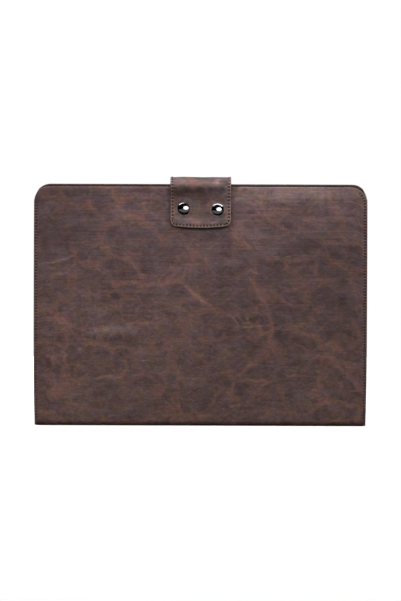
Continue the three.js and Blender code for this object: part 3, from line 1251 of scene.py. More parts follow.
@dataclass
class Sheet:
    """A leather sheet between an outer and an inner face, both grids of points from edge to edge."""

    outer: Array
    inner: Array
    flat: Array  # where each point lay before the sheet was bent
    reach: Array  # how far the rim stands out, read along the border
    wear: Array  # how strong each kind of mark is
    shade: Array  # by what share it is lighter than the rest
    rim: Rim = Rim()
    inner_step: int = 4  # outer grid points to one inner one
    rim_spread: float = 0.8  # room for each row of the rim on the flat sheet
    unsewn: Place = (9.0, 0.0, 0.0)  # note of a point that is far beside any stitch
    outside_part: Span = (0.0, 0.7)  # of the baked image, from left to right
    inside_part: Span = (0.71, 1.0)

    def __post_init__(self) -> None:
        """Starts the note of where each point lies beside the stitches."""
        self.sewn = np.tile(self.unsewn, (*self.outer.shape[:2], 1))

    def normals(self) -> Array:
        """Gives a unit vector for the way that each point of the outer face looks."""
        return unit(np.cross(np.gradient(self.outer, axis=0), np.gradient(self.outer, axis=1)))

    def push(self, heights: Array) -> None:
        """Moves each point of the outer face outward by its height."""
        self.outer = self.outer + self.normals() * heights[..., None]

    def wear_down(self, mark: Mark, strength: Array) -> None:
        """Strengthens one kind of mark where it is weaker than a strength."""
        self.wear[..., mark.value] = np.maximum(self.wear[..., mark.value], strength)

    def sew(self, lines: list[StitchLine], stitching: Stitching) -> None:
        """Notes how far beside a line of stitches each point lies, at which stitch, and how pulled in.

        Args:
            lines: The lines.
            stitching: How they are sewn.
        """
        runs = [stitching.samples(line) for line in lines]
        samples, asides, phases = (np.concatenate(parts) for parts in zip(*runs))
        after = np.cumsum([len(points) for points, _, _ in runs])
        ends = {0, *after.tolist(), *(after - 1).tolist()}
        tree = KDTree(len(samples))
        for index, sample in enumerate(samples):
            tree.insert(sample, index)
        tree.balance()
        sewn = self.sewn.reshape(-1, 3)
        for index, point in enumerate(self.outer.reshape(-1, 3)):
            _, sample, gap = tree.find(point)
            if gap < stitching.near and sample not in ends:
                apart = (point - samples[sample]) * stitching.seen
                sewn[index, 0] = np.dot(apart, asides[sample]) / stitching.dimple
                sewn[index, 1] = phases[sample]
        pull = stitching.pull(self.outer[..., 2])
        self.sewn[..., 2] = np.where(np.abs(self.sewn[..., 0]) < stitching.reached, pull, 0.0)

    def border(self) -> Array:
        """Lists the border once round.

        Returns:
            The rows of all border points, and their columns.
        """
        rows, columns = self.outer.shape[:2]
        top = [(0, column) for column in range(columns - 1)]
        right = [(row, columns - 1) for row in range(rows - 1)]
        bottom = [(rows - 1, column) for column in range(columns - 1, 0, -1)]
        left = [(row, 0) for row in range(rows - 1, 0, -1)]
        return np.array(top + right + bottom + left).T

    def inner_grid(self) -> list[Array]:
        """Lists the rows and the columns of the outer grid that the coarser inner one has."""
        counts = self.outer.shape[:2]
        return [np.linspace(0, count - 1, count // self.inner_step).round().astype(int) for count in counts]

    def core(self) -> tuple[Array, ...]:
        """Picks the points of the inner grid that its border leaves."""
        rows, columns = self.inner_grid()
        return np.ix_(rows[1:-1], columns[1:-1])

    @staticmethod
    def in_order(outer: Array, rim: Array, core: Array) -> Array:
        """Lists values of the outer grid, the rim's loops and the inner core as the vertices come."""
        return np.concatenate([part.reshape(-1, *outer.shape[2:]) for part in (outer, rim, core)])

    def rim_loops(self) -> Array:
        """Places the points of the rim.

        Returns:
            One loop of points for each point of the rim's section.
        """
        at = tuple(self.border())
        start = self.outer[at]
        through = self.inner[at] - start
        along = np.roll(start, -1, axis=0) - np.roll(start, 1, axis=0)
        outward = unit(np.cross(self.normals()[at], along)) * self.reach[at][:, None]
        return np.array([start + through * share + outward * out for share, out in self.rim.section()])

    def rim_flat(self) -> Array:
        """Places the points of the rim on the flat sheet.

        Returns:
            One loop of flat places for each point of the rim's section.
        """
        start = self.flat[tuple(self.border())]
        along = np.roll(start, -1, axis=0) - np.roll(start, 1, axis=0)
        outward = unit(np.stack([along[:, 1], -along[:, 0]], axis=1))
        steps = 1 + np.arange(len(self.rim.section()))
        return start + outward * (steps * self.rim_spread)[:, None, None]

    def inner_faces(self, ring: Array) -> list[list[int]]:
        """Makes the faces of the inner side, whose border keeps all the points of the rim.

        Args:
            ring: Vertices of the rim's last loop, after which the others of the inner side follow.

        Returns:
            The vertices of each face.
        """
        rows, columns = self.inner_grid()
        last = (rows[-1], columns[-1])
        core = self.core()
        ids = np.zeros(self.outer.shape[:2], int)
        ids[tuple(self.border())] = ring
        ids[core] = ring[-1] + 1 + np.arange(ids[core].size).reshape(ids[core].shape)

        def side(start: tuple[int, int], end: tuple[int, int]) -> list[int]:
            """Lists the vertices from a corner up to the next, which is left out."""
            on_border = any(start[axis] == end[axis] and start[axis] in (0, last[axis]) for axis in (0, 1))
            steps = max(abs(end[0] - start[0]), abs(end[1] - start[1])) if on_border else 1
            places = np.linspace(start, end, steps + 1).round().astype(int)[:-1]
            return ids[tuple(places.T)].tolist()

        faces = []
        for top, bottom in zip(rows, rows[1:]):
            for left, right in zip(columns, columns[1:]):
                corners = [(top, left), (top, right), (bottom, right), (bottom, left)]
                sides = [side(start, end) for start, end in zip(corners, corners[1:] + corners[:1])]
                faces.append([vertex for vertices in sides for vertex in vertices])
        return faces

    def faces(self) -> tuple[list[list[int]], list[list[int]], list[list[int]]]:
        """Makes the faces of the outer side, of the rim and of the inner side.

        Returns:
            The vertices of each face, for the three parts.
        """
        grid = np.arange(self.flat[..., 0].size).reshape(self.flat.shape[:2])
        border = grid[tuple(self.border())]
        loops = len(self.rim.section())
        ring = grid.size + np.arange(loops * len(border)).reshape(loops, -1)
        outer = np.stack([grid[:-1, :-1], grid[1:, :-1], grid[1:, 1:], grid[:-1, 1:]], axis=-1)
        rim = ring_walls(np.vstack([border, ring]))
        return outer.reshape(-1, 4).tolist(), rim.tolist(), self.inner_faces(ring[-1])

    def bake_places(self, flat: Array, part: Span) -> Array:
        """Lays flat places out in an upright part of a square image.

        Args:
            flat: Flat places.
            part: Left and right edge of the part.

        Returns:
            A place in the image for each flat place.
        """
        margin = self.rim_spread * (len(self.rim.section()) + 1)
        low = self.flat.min(axis=(0, 1)) - margin
        span = self.flat.max(axis=(0, 1)) + margin - low
        left, right = part
        scale = min((right - left) / span[0], 1 / span[1])
        return (flat - low) * scale + np.array([left, 0.0])

    def carried(self, values: Array) -> Array:
        """Carries values of the outer side on over the rim, and leaves the inner side without.

        Args:
            values: A number or a vector for each point of the outer side.

        Returns:
            The same for each vertex.
        """
        rim = [values[tuple(self.border())]] * len(self.rim.section())
        return self.in_order(values, np.array(rim), np.zeros_like(values[self.core()]))

    def build(self, name: str, finish: SheetFinish) -> Piece:
        """Makes the closed mesh.

        Args:
            name: Name of the piece.
            finish: Its materials.

        Returns:
            The piece.
        """
        core = self.core()
        loops = self.rim_loops()
        rim_flat = self.rim_flat()
        points = self.in_order(self.outer, loops, self.inner[core])
        outer_faces, rim_faces, inner_faces = self.faces()
        faces = outer_faces + rim_faces + inner_faces
        piece = new_piece(name, points, faces, [finish.leather, finish.paint, finish.suede])
        mesh = piece.data
        rolled = self.rim.leather_steps * loops.shape[1]
        counts = (len(outer_faces) + rolled, len(rim_faces) - rolled, len(inner_faces))
        mesh.polygons.foreach_set("material_index", np.repeat(range(3), counts).astype(np.int32))

        flat = self.in_order(self.flat, rim_flat, self.flat[core])
        unsewn = np.tile(self.unsewn, (len(points) - self.sewn[..., 0].size, 1))
        hold(mesh, "flat", np.pad(flat, ((0, 0), (0, 1))))
        hold(mesh, "wear", self.carried(self.wear))
        hold(mesh, "shade", self.carried(self.shade))
        hold(mesh, "sewn", np.concatenate([self.sewn.reshape(-1, 3), unsewn]))

        # The inner side has a part of the baked image to itself.
        rim_flat[-1] = self.flat[tuple(self.border())]
        inside = self.in_order(self.flat, rim_flat, self.flat[core])
        outside_corners = np.concatenate(outer_faces + rim_faces)
        inside_corners = np.concatenate(inner_faces)
        places = [
            self.bake_places(flat, self.outside_part)[outside_corners],
            self.bake_places(inside, self.inside_part)[inside_corners],
        ]
        layer = mesh.uv_layers.new(name=BAKE_MAP)
        layer.uv.foreach_set("vector", np.concatenate(places).astype(np.float32).ravel())
        return piece

    def flat_size(self) -> Span:
        """Measures the sheet as it was cut, in metres."""
        size = (np.ptp(self.flat.reshape(-1, 2), axis=0) + 2 * self.reach.max()) * MM
        return float(size[0]), float(size[1])


@dataclass(frozen=True)
class Pouch:
    """Shape of the folded leather wrap."""

    wall: float = 2.4
    front_height: float = 240.0
    back_height: float = 242.6
    fold: float = 5.0  # radius where a panel turns into the flat base
    edge: float = 5.0  # radius where a panel turns to the side seam
    seam: float = 0.25  # half of the gap between the panels' edges
    least_flat: float = 0.1  # half of the flat base at the seam
    mouth_reach: float = 1.2  # how far the rolled edge stands out at the mouth
    seam_reach: float = 0.24  # and along the side seam
    front_corners: Span = (15.0, 18.0)  # left, right
    back_corners: Span = (16.5, 15.0)
    corner_points: int = 24  # of a stitch line, round a corner

    def height(self, panel: Panel) -> float:
        """Height of a panel's mouth edge."""
        return self.front_height if panel is Panel.FRONT else self.back_height

    def corner(self, panel: Panel, side: Side) -> float:
        """Radius of a panel's upper corner on a side."""
        left, right = self.front_corners if panel is Panel.FRONT else self.back_corners
        return left if side is Side.LEFT else right

    def half_width(self, z: Array) -> Array:
        """Half of the width at some heights."""
        return self.read([section.half_width for section in SECTIONS], z)

    def half_depth(self, z: Array) -> Array:
        """Half of the depth at some heights, without the hollows."""
        return self.read([section.half_depth for section in SECTIONS], z)

    @staticmethod
    def read(column: list[float], z: Array) -> Array:
        """Reads a column of the section table on a smooth curve through its rows.

        Args:
            column: The value in each row.
            z: Heights.

        Returns:
            The value at each height.
        """
        heights = np.array([section.z for section in SECTIONS], float)
        values = np.array(column, float)
        last = len(SECTIONS) - 1
        before = np.maximum(np.arange(last + 1) - 1, 0)
        after = np.minimum(np.arange(last + 1) + 1, last)
        slopes = (values[after] - values[before]) / (heights[after] - heights[before])
        low = np.clip(np.searchsorted(heights, z, side="right") - 1, 0, last - 1)
        span = heights[low + 1] - heights[low]
        t = np.clip((z - heights[low]) / span, 0, 1)
        risen = smooth_step(t, 0, 1)
        leaving = slopes[low] * t * (1 - t) ** 2 * span
        arriving = slopes[low + 1] * t * t * (t - 1) * span
        return values[low] * (1 - risen) + values[low + 1] * risen + leaving + arriving

    def depth(self, panel: Panel, x: Array, z: Array) -> Array:
        """Distance of a panel's outer face from the middle of the pouch.

        Args:
            panel: The panel.
            x: Places across it.
            z: Heights on it.

        Returns:
            The distance at each place.
        """
        inset = np.clip(self.half_width(z) - np.abs(x), 0, self.edge)
        sine = 1 - inset / self.edge
        hollow = sum(dent.depth_at(x, z) for dent in DENTS if dent.panel is panel)
        flat = self.half_depth(z) - hollow
        return self.seam + (flat - self.seam) * np.sqrt(1 - sine**2)

    def face(self, panel: Panel, x: Array, z: Array) -> Array:
        """Places points on a panel's outer face, from where they are across it and their heights."""
        return np.stack([x, panel.value * self.depth(panel, x, z), z], axis=-1)

    def line_on(self, panel: Panel, x: Array, z: Array) -> StitchLine:
        """Draws a line on a panel.

        Args:
            panel: The panel.
            x: Places across it.
            z: Heights on it.

        Returns:
            The line, with the way that the panel faces along it.
        """
        step = 0.05
        across = self.face(panel, x + step, z) - self.face(panel, x - step, z)
        upward = self.face(panel, x, z + step) - self.face(panel, x, z - step)
        return StitchLine(self.face(panel, x, z), unit(np.cross(across, upward)) * -panel.value)

    def side_line(self, panel: Panel, side: Side, inset: float, low: float, turned: float) -> StitchLine:
        """Follows a panel's edge up one side and part of the way round its corner.

        Args:
            panel: The panel.
            side: The side.
            inset: Distance from the edge.
            low: Height where the line starts.
            turned: How far round the corner it goes, in degrees.

        Returns:
            The line.
        """
        top = self.height(panel)
        radius = self.corner(panel, side)
        upright = np.arange(low, top - radius, 1.0)
        turns = np.linspace(0, math.radians(turned), self.corner_points)
        middle = self.half_width(np.array(top)) - radius
        round_x = middle + (radius - inset) * np.cos(turns)
        round_z = top - radius + (radius - inset) * np.sin(turns)
        x = np.concatenate([self.half_width(upright) - inset, round_x])
        z = np.concatenate([upright, round_z])
        return self.line_on(panel, side.value * x, z)


@dataclass
class LeatherWrap:
    """The pouch: front panel, base and back panel in one sheet."""

    pouch: Pouch
    spacing: float = 1.6  # between grid points on the flat parts
    edge_steps: int = 11
    fold_steps: int = 5
    base_steps: int = 7
    mouth_points: int = 60  # round a corner of the mouth edge
    stitch_inset: float = 2.8
    stitch_low: float = 7.0
    stitch_turns: Span = (0.0, 55.0)  # degrees that they go round the left and right corners
    groove: float = 0.22
    groove_width: float = 0.9
    groove_end: Span = (3.0, 6.0)  # below the front's mouth edge, where the groove dies away
    above_base: Span = (4.0, 9.0)  # heights between which the groove and the worn edges begin
    waviness: float = 0.16
    wave_lengths: Span = (26.0, 80.0)
    wave_inset: Span = (4.0, 16.0)  # from the edge, where the waves and scars begin
    wave_rise: Span = (6.0, 22.0)  # and from the base
    scar_relief: float = 0.14
    edge_wear: float = 0.25
    edge_wear_inset: float = 0.4
    edge_wear_width: float = 0.8
    front_depth: Span = (0.0, 6.0)  # from the middle of the pouch, where the front's shades begin
    strewing: Strewing = Strewing()  # of each panel's short creases, besides the charted ones
    stitching: Stitching = Stitching(
        pitch=2.92,
        share=0.62,
        radius=0.42,
        dimple=1.7,
        least_pull=0.45,
        pull_rise=(60, 170),
        seen=(1.0, 0.55, 1.0),
    )

    def columns(self) -> list[tuple[Side, float]]:
        """Spaces the columns of the grid from edge to edge.

        Returns:
            Side of each column, and its distance from the edge where the pouch has its upper width.
        """
        turns = np.linspace(math.pi / 2, 0, self.edge_steps + 1)
        round_part = self.pouch.edge * (1 - np.sin(turns))
        count = int((UPPER_HALF_WIDTH - self.pouch.edge) / self.spacing)
        flat_part = np.linspace(self.pouch.edge, UPPER_HALF_WIDTH, count + 1)[1:]
        insets = [*round_part, *flat_part]
        return [(Side.LEFT, inset) for inset in insets] + [(Side.RIGHT, inset) for inset in insets[-2::-1]]

    def across(self, side: Side, inset: float, z: Array) -> Array:
        """Places a column at some heights, so that all columns share the width there.

        Args:
            side: The side that it is on.
            inset: Its distance from the edge, where the pouch has its upper width.
            z: The heights.

        Returns:
            Where the column is across the pouch at each height.
        """
        edge = self.pouch.edge
        width = self.pouch.half_width(z)
        share = max(inset - edge, 0) / (UPPER_HALF_WIDTH - edge)
        return side.value * (width - min(inset, edge) - share * (width - edge))

    def mouth(self, panel: Panel, side: Side, inset: float) -> float:
        """Finds where the grid ends below a panel's rolled mouth edge.

        Args:
            panel: The panel.
            side: The side.
            inset: Distance from the side edge.

        Returns:
            The height of the grid's last point.
        """
        radius = self.pouch.corner(panel, side)
        turns = np.linspace(0, math.pi / 2, self.mouth_points)
        reach = self.reach_at(np.sin(turns))
        insets = radius * (1 - np.cos(turns)) + np.cos(turns) * reach
        drops = radius * (1 - np.sin(turns)) + np.sin(turns) * reach
        return self.pouch.height(panel) - float(np.interp(inset, insets, drops))

    def reach_at(self, rise: Array | float) -> Array | float:
        """How far the rim stands out, from 0 at the side seam to 1 at the mouth."""
        return self.pouch.seam_reach + (self.pouch.mouth_reach - self.pouch.seam_reach) * rise

    def half_strip(self, panel: Panel, side: Side, inset: float) -> Array:
        """One panel's part of an upright strip, from its mouth edge down to the flat base.

        Args:
            panel: The panel.
            side: The side.
            inset: Distance from the side edge.

        Returns:
            Depth, height and lean of each point; the lean is 0 on the panel and a quarter turn on the base.
        """
        pouch = self.pouch
        rows = int((pouch.front_height - pouch.fold) / self.spacing)
        z = np.linspace(self.mouth(panel, side, inset), pouch.fold, rows + 1)
        y = pouch.depth(panel, self.across(side, inset, z), z)
        upright = np.stack([y, z, np.zeros_like(z)], axis=-1)[:-1]
        leans = np.linspace(0, math.pi / 2, self.fold_steps + 1)
        bend = min(pouch.fold, y[-1] - pouch.least_flat)
        round_y = y[-1] - bend * (1 - np.cos(leans))
        round_z = pouch.fold * (1 - np.sin(leans))
        half = np.concatenate([upright, np.stack([round_y, round_z, leans], axis=-1)])
        return half * (panel.value, 1, 1)

    def strip(self, side: Side, inset: float) -> tuple[Array, Array]:
        """One upright strip, from the front mouth edge down, under the base and up to the back one.

        Args:
            side: The side.
            inset: Distance from the side edge.

        Returns:
            Points of the outer and of the inner face.
        """
        sine = 1 - min(inset / self.pouch.edge, 1)
        cosine = math.sqrt(1 - sine**2)
        front, back = (self.half_strip(panel, side, inset) for panel in Panel)
        shares = np.linspace(0, 1, self.base_steps + 1)[1:-1, None]
        base = front[-1] * (1 - shares) + back[-1] * shares
        y, z, lean = np.concatenate([front, base, back[::-1]]).T
        outer = np.stack([self.across(side, inset, z), y, z], axis=-1)
        inward_x = np.full_like(y, -sine * side.value)
        inward_y = -np.sign(y) * cosine * np.cos(lean)
        inward = np.stack([inward_x, inward_y, np.sin(lean)], axis=-1)
        return outer, outer + self.pouch.wall * inward

    def sheet(self) -> Sheet:
        """Lays the strips side by side and works the leather.

        Returns:
            The sheet with its dents, groove, creases and marks.
        """
        columns = self.columns()
        strips = [self.strip(side, inset) for side, inset in columns]
        outer, inner = (np.stack(faces, axis=1) for faces in zip(*strips))
        down = lengths_along(outer[:, len(columns) // 2])
        across = lengths_along(outer[len(outer) // 4])
        flat = np.stack(np.meshgrid(across - across.mean(), down), axis=-1)
        reach = np.full(outer.shape[:2], self.pouch.seam_reach)
        for row, panel in ((0, Panel.FRONT), (-1, Panel.BACK)):
            for column, (side, inset) in enumerate(columns):
                cosine = max(1 - inset / self.pouch.corner(panel, side), 0)
                reach[row, column] = self.reach_at(math.sqrt(1 - cosine**2))
        points = np.moveaxis(outer, -1, 0)
        x, y, z = points
        shade = FRONT_CHART.shade(x, z) * smooth_step(-y, *self.front_depth)
        sheet = Sheet(outer, inner, flat, reach, self.wear(points), shade)
        away = self.edge_distance(points)
        worn_edge = self.edge_wear * bell(away, self.edge_wear_inset, self.edge_wear_width)
        sheet.wear_down(PALE, worn_edge * smooth_step(z, *self.above_base))
        sheet.push(self.relief(sheet, away))
        return sheet

    def edge_distance(self, points: Array) -> Array:
        """Measures how far points of the outer face lie from their panel's edge, seen from the front.

        Args:
            points: The points, with the three axes first.

        Returns:
            The distance from the side edge, the corner or the mouth edge.
        """
        x, y, z = points
        height = np.where(y < 0, self.pouch.front_height, self.pouch.back_height)
        radius = np.zeros_like(x)
        for panel in Panel:
            for side in Side:
                chosen = (y * panel.value > 0) & (x * side.value > 0)
                radius[chosen] = self.pouch.corner(panel, side)
        return outline_distance(self.pouch.half_width(z) - np.abs(x), height - z, radius)

    def wear(self, points: Array) -> Array:
        """Paints the charted marks and the strewn creases.

        Args:
            points: Points of the outer face, with the three axes first.

        Returns:
            How strong each kind of mark is at each point.
        """
        x, y, z = points
        panel = (UPPER_HALF_WIDTH, self.pouch.back_height)
        front_creases = FRONT_CHART.creases + self.strewing.creases(*panel, seed=31)
        front = replace(FRONT_CHART, creases=front_creases)
        back = Chart(creases=self.strewing.creases(*panel, seed=37))
        return np.where((y < 0)[..., None], front.wear(x, z), back.wear(x, z))

    def relief(self, sheet: Sheet, away: Array) -> Array:
        """Works out how far the leather stands above its smooth shape.

        Args:
            sheet: The sheet.
            away: Distance of each point from its panel's edge.

        Returns:
            The height at each point.
        """
        across, down = np.moveaxis(sheet.flat, -1, 0)
        z = sheet.outer[..., 2]
        waves = soft_waves(across, down, self.wave_lengths, seed=11)
        inside = smooth_step(away, *self.wave_inset) * smooth_step(z, *self.wave_rise)
        scars = sheet.wear[..., RUST.value] + sheet.wear[..., PALE.value]
        below_mouth = self.pouch.front_height - z
        grooved = smooth_step(z, *self.above_base) * smooth_step(below_mouth, *self.groove_end)
        groove = self.groove * bell(away, self.stitch_inset, self.groove_width) * grooved
        return inside * (self.waviness * waves - self.scar_relief * scars) - groove

    def build(self, finish: SheetFinish) -> list[Piece]:
        """Makes the wrap and its stitches.

        Args:
            finish: Their materials.

        Returns:
            The two pieces.
        """
        lines = [
            self.pouch.side_line(panel, side, self.stitch_inset, self.stitch_low, turned)
            for panel in Panel
            for side, turned in zip(Side, self.stitch_turns)
        ]
        sheet = self.sheet()
        sheet.sew(lines, self.stitching)
        wrap = sheet.build("wrap_leather", finish)
        sunk = [line.sunk(self.groove) for line in lines]
        stitches = self.stitching.build("wrap_stitches", sunk, finish.thread, seed=3)
        mount(wrap, Slot.LEATHER, "leather_wrap")
        mount(stitches, Slot.THREAD)
        sheet.flat_size()
        return [wrap, stitches]


@dataclass(frozen=True)
class Stop:
    """A place that the tab's inner face passes, measured from a panel's outer face."""

    panel: Panel
    z: float
    standoff: float

    def place(self, pouch: Pouch) -> Span:
        """Where the stop is along the depth and the height of a pouch."""
        depth = float(pouch.depth(self.panel, np.array(0.0), np.array(float(self.z))))
        return self.panel.value * (depth + self.standoff), self.z


@dataclass(frozen=True)
class Seat:
    """Where a snap cap sits on the tab, and how it leans."""

    x: float
    z: float
    turn: float  # degrees that the cap leans to the right
    nod: float  # degrees that it leans up

    def slopes(self) -> Span:
        """Slope of the cap to the right, and upward."""
        return math.tan(math.radians(self.turn)), math.tan(math.radians(self.nod))


@dataclass
class ClosingTab:
    """The stitched tab that comes over the mouth from the back and is snapped to the front."""

    pouch: Pouch
    route: tuple[Stop, ...] = (
        Stop(Panel.BACK, 203, 0.3),
        Stop(Panel.BACK, 214, 0.3),
        Stop(Panel.BACK, 225, 0.4),
        Stop(Panel.BACK, 233, 0.9),
        Stop(Panel.BACK, 240.2, 1.5),
        Stop(Panel.BACK, 245, -1.2),
        Stop(Panel.FRONT, 247, -8.0),
        Stop(Panel.FRONT, 245, 1.6),
        Stop(Panel.FRONT, 240.4, 5.6),
        Stop(Panel.FRONT, 226, 3.3),
        Stop(Panel.FRONT, 217.5, 3.5),
        Stop(Panel.FRONT, 198.3, 5.2),
    )
    half_width: float = 30.5
    thickness: float = 2.4
    corner: float = 5.5
    bow: float = 2.4  # how far the middle of the free end hangs below its corners
    ear_lift: float = 0.7  # how far the stitched borders stand up over the mouth
    ear_width: float = 5.0
    ear_reach: float = 9.0
    edge_reach: float = 1.3  # how far the rolled edge stands out
    spacing: float = 0.75
    span_points: int = 41  # of the route, from one stop to the next
    corner_points: int = 14  # of a stitch line, round a corner
    row_points: int = 60  # and across the tab
    side_points: int = 200  # and up its side
    stitch_inset: float = 2.2
    foot_row: float = 24.0  # of the sewn foot, from its end to the row of stitches across it
    groove: float = 0.3
    groove_width: float = 0.85
    puff: float = 0.3  # how far the leather swells inside the stitched border
    puff_inset: Span = (2.5, 7.0)  # from the edge, where it swells
    waviness: float = 0.12
    wave_lengths: Span = (14.0, 40.0)
    wave_inset: Span = (3.0, 8.0)  # from the edge, where the waves begin
    # The pale band along the stitched border is partly rubbed edges, partly a painted highlight.
    edge_wear: float = 0.45
    edge_wear_inset: float = 1.5
    edge_wear_width: float = 1.8
    pressed: Span = (5.2, 9.0)  # from a snap's middle, where its cap stops pressing the leather flat
    leaning: Span = (6.0, 13.0)  # and where the leather stops leaning with the cap
    ring_radius: float = 7.0  # of the ridge that a snap cap presses up
    ring_width: float = 0.7
    ring_relief: float = 0.16
    # Painted highlight on that ridge.
    ring_wear: float = 0.5
    stitching: Stitching = Stitching(
        pitch=3.4,
        share=0.56,
        radius=0.46,
        dimple=1.5,
        least_pull=0.72,
        pull_rise=(203, 210),
    )

    def __post_init__(self) -> None:
        """Samples the line of the inner face finely, with the distance along it."""
        stops = np.array([stop.place(self.pouch) for stop in self.route])
        ghosts = np.vstack([2 * stops[0] - stops[1], stops, 2 * stops[-1] - stops[-2]])
        spans = [self.span(ghosts[index : index + 4])[:-1] for index in range(len(stops) - 1)]
        self.line = np.vstack([*spans, stops[-1:]])
        self.lengths = lengths_along(self.line)
        self.length = float(self.lengths[-1])

    def span(self, points: Array) -> Array:
        """Draws a centripetal Catmull-Rom curve between the middle two of four points.

        Args:
            points: The four points.

        Returns:
            Points of the curve.
        """
        gaps = np.linalg.norm(np.diff(points, axis=0), axis=1)
        knots = np.concatenate([[0.0], np.cumsum(np.sqrt(gaps))])
        t = np.linspace(knots[1], knots[2], self.span_points)[:, None]

        def between(first: Array, second: Array, start: int, end: int) -> Array:
            """Goes straight from the first to the second between two knots."""
            share = (t - knots[start]) / (knots[end] - knots[start])
            return first + (second - first) * share

        lines = [between(points[index], points[index + 1], index, index + 1) for index in range(3)]
        arcs = [between(lines[index], lines[index + 1], index, index + 2) for index in range(2)]
        return between(arcs[0], arcs[1], 1, 2)

    def read(self, distance: Array) -> Array:
        """Reads depth and height of the inner face's line at distances from the foot."""
        return np.stack([np.interp(distance, self.lengths, values) for values in self.line.T])

    def inner_face(self, x: Array, distance: Array) -> tuple[Array, Array]:
        """Places points on the tab's inner face.

        Args:
            x: Places across the tab.
            distance: Distances along it from its foot.

        Returns:
            The points, and the way that the tab faces there.
        """
        step = 0.4
        y, z = self.read(distance)
        run_y, run_z = self.read(distance + step) - self.read(distance - step)
        facing = unit(np.stack([np.zeros_like(y), run_z, -run_y], axis=-1))
        crest = max(stop.z for stop in self.route)
        near_edge = smooth_step(self.ear_width - (self.half_width - np.abs(x)), 0, self.ear_width)
        near_crest = smooth_step(z, crest - self.ear_reach, crest)
        lift = self.ear_lift * near_edge * near_crest
        return np.stack([x, y, z], axis=-1) + facing * lift[..., None], facing

    def end(self, x: Array) -> Array:
        """Distance from the foot to the bowed free end, away from the corners."""
        return self.length - self.bow * (x / self.half_width) ** 2

    def along(self, z: float) -> float:
        """Finds how far from the foot a height lies on the front of the tab."""
        crest = int(np.argmax(self.line[:, 1]))
        return float(np.interp(-z, -self.line[crest:, 1], self.lengths[crest:]))

    def sheet(self, seats: list[Seat]) -> Sheet:
        """Lays out the tab and works the leather.

        Args:
            seats: Where the snap caps press on it.

        Returns:
            The sheet with its groove, swelling and marks.
        """
        half = self.half_width - self.edge_reach
        columns = np.linspace(-half, half, int(2 * half / self.spacing) + 1)
        drop = self.edge_reach + corner_drop(self.corner - self.edge_reach, half - np.abs(columns))
        share = np.linspace(0, 1, int(self.length / self.spacing) + 1)[:, None]
        distance = drop * (1 - share) + (self.end(columns) - drop) * share
        x = np.broadcast_to(columns, distance.shape)
        inner, facing = self.inner_face(x, distance)
        outer = inner + facing * self.thickness
        z = outer[..., 2]
        front = np.where(distance > self.length / 2, 1.0, 0.0)
        sheet = Sheet(
            outer=outer,
            inner=inner,
            flat=np.stack([x, distance], axis=-1),
            reach=np.full(x.shape, self.edge_reach),
            wear=TAB_CHART.wear(x, z) * front[..., None],
            shade=TAB_CHART.shade(x, z) * front,
            # Paint covers more of the roll, to draw the dark line under the tab's edge: partly painted
            # shadow.
            rim=Rim(leather_steps=2),
        )
        self.work(sheet, seats)
        return sheet

    def work(self, sheet: Sheet, seats: list[Seat]) -> None:
        """Pales the edges, partly rubbed and partly a painted highlight, swells the middle, presses in the
        stitches and the snap caps, and paints a highlight round each cap.

        Args:
            sheet: The sheet.
            seats: Where the snap caps press on it.
        """
        x, distance = np.moveaxis(sheet.flat, -1, 0)
        to_end = np.minimum(distance, self.end(x) - distance)
        away = outline_distance(self.half_width - np.abs(x), to_end, self.corner)
        worn_edge = self.edge_wear * bell(away, self.edge_wear_inset, self.edge_wear_width)
        sheet.wear_down(PALE, worn_edge)
        swelling = self.puff * smooth_step(away, *self.puff_inset)
        groove = self.groove * bell(away, self.stitch_inset, self.groove_width)
        waves = soft_waves(x, distance, self.wave_lengths, seed=23) * smooth_step(away, *self.wave_inset)
        relief = swelling - groove + self.waviness * waves
        for seat in seats:
            aside, below = x - seat.x, distance - self.along(seat.z)
            apart = np.hypot(aside, below)
            right, up = seat.slopes()
            ring = bell(apart, self.ring_radius, self.ring_width)
            relief += self.ring_relief * ring - self.puff * (1 - smooth_step(apart, *self.pressed))
            relief += (below * up - aside * right) * (1 - smooth_step(apart, *self.leaning))
            # Painted highlight on the ridge that the cap presses up.
            sheet.wear_down(PALE, self.ring_wear * ring)
        sheet.push(relief)

    def line_on(self, x: Array, distance: Array) -> StitchLine:
        """Draws a line on the tab's outer face, in its stitch groove."""
        inner, facing = self.inner_face(x, distance)
        return StitchLine(inner + facing * (self.thickness - self.groove), facing)

    def stitch_lines(self) -> list[StitchLine]:
        """Draws the stitched border and the row across the sewn foot.

        Returns:
            The lines.
        """
        inset = self.stitch_inset
        half = self.half_width - inset
        turns = np.linspace(0, math.pi / 2, self.corner_points)
        corner_x = half - (self.corner - inset) * (1 - np.sin(turns))[::-1]
        across = np.linspace(-corner_x[0], corner_x[0], self.row_points)[1:-1]
        x = np.concatenate([-corner_x[::-1], across, corner_x])
        drop = inset + corner_drop(self.corner - inset, half - np.abs(x))
        top = self.end(np.array(half)) - self.corner
        up = np.linspace(top, self.corner, self.side_points)[1:-1]
        round_x = np.concatenate([x, np.full_like(up, half), x[::-1], np.full_like(up, -half)])
        round_way = np.concatenate([self.end(x) - drop, up, drop[::-1], up[::-1]])
        foot_x = np.linspace(-half + inset, half - inset, self.row_points)
        foot_way = np.full_like(foot_x, self.foot_row)
        return [self.line_on(round_x, round_way), self.line_on(foot_x, foot_way)]

    def build(self, seats: list[Seat], finish: SheetFinish) -> list[Piece]:
        """Makes the tab and its stitches.

        Args:
            seats: Where the snap caps press on it.
            finish: Their materials.

        Returns:
            The two pieces.
        """
        lines = self.stitch_lines()
        sheet = self.sheet(seats)
        sheet.sew(lines, self.stitching)
        tab = sheet.build("tab_leather", finish)
        stitches = self.stitching.build("tab_stitches", lines, finish.thread, seed=8)
        mount(tab, Slot.LEATHER, "closing_tab")
        mount(stitches, Slot.THREAD)
        sheet.flat_size()
        return [tab, stitches]


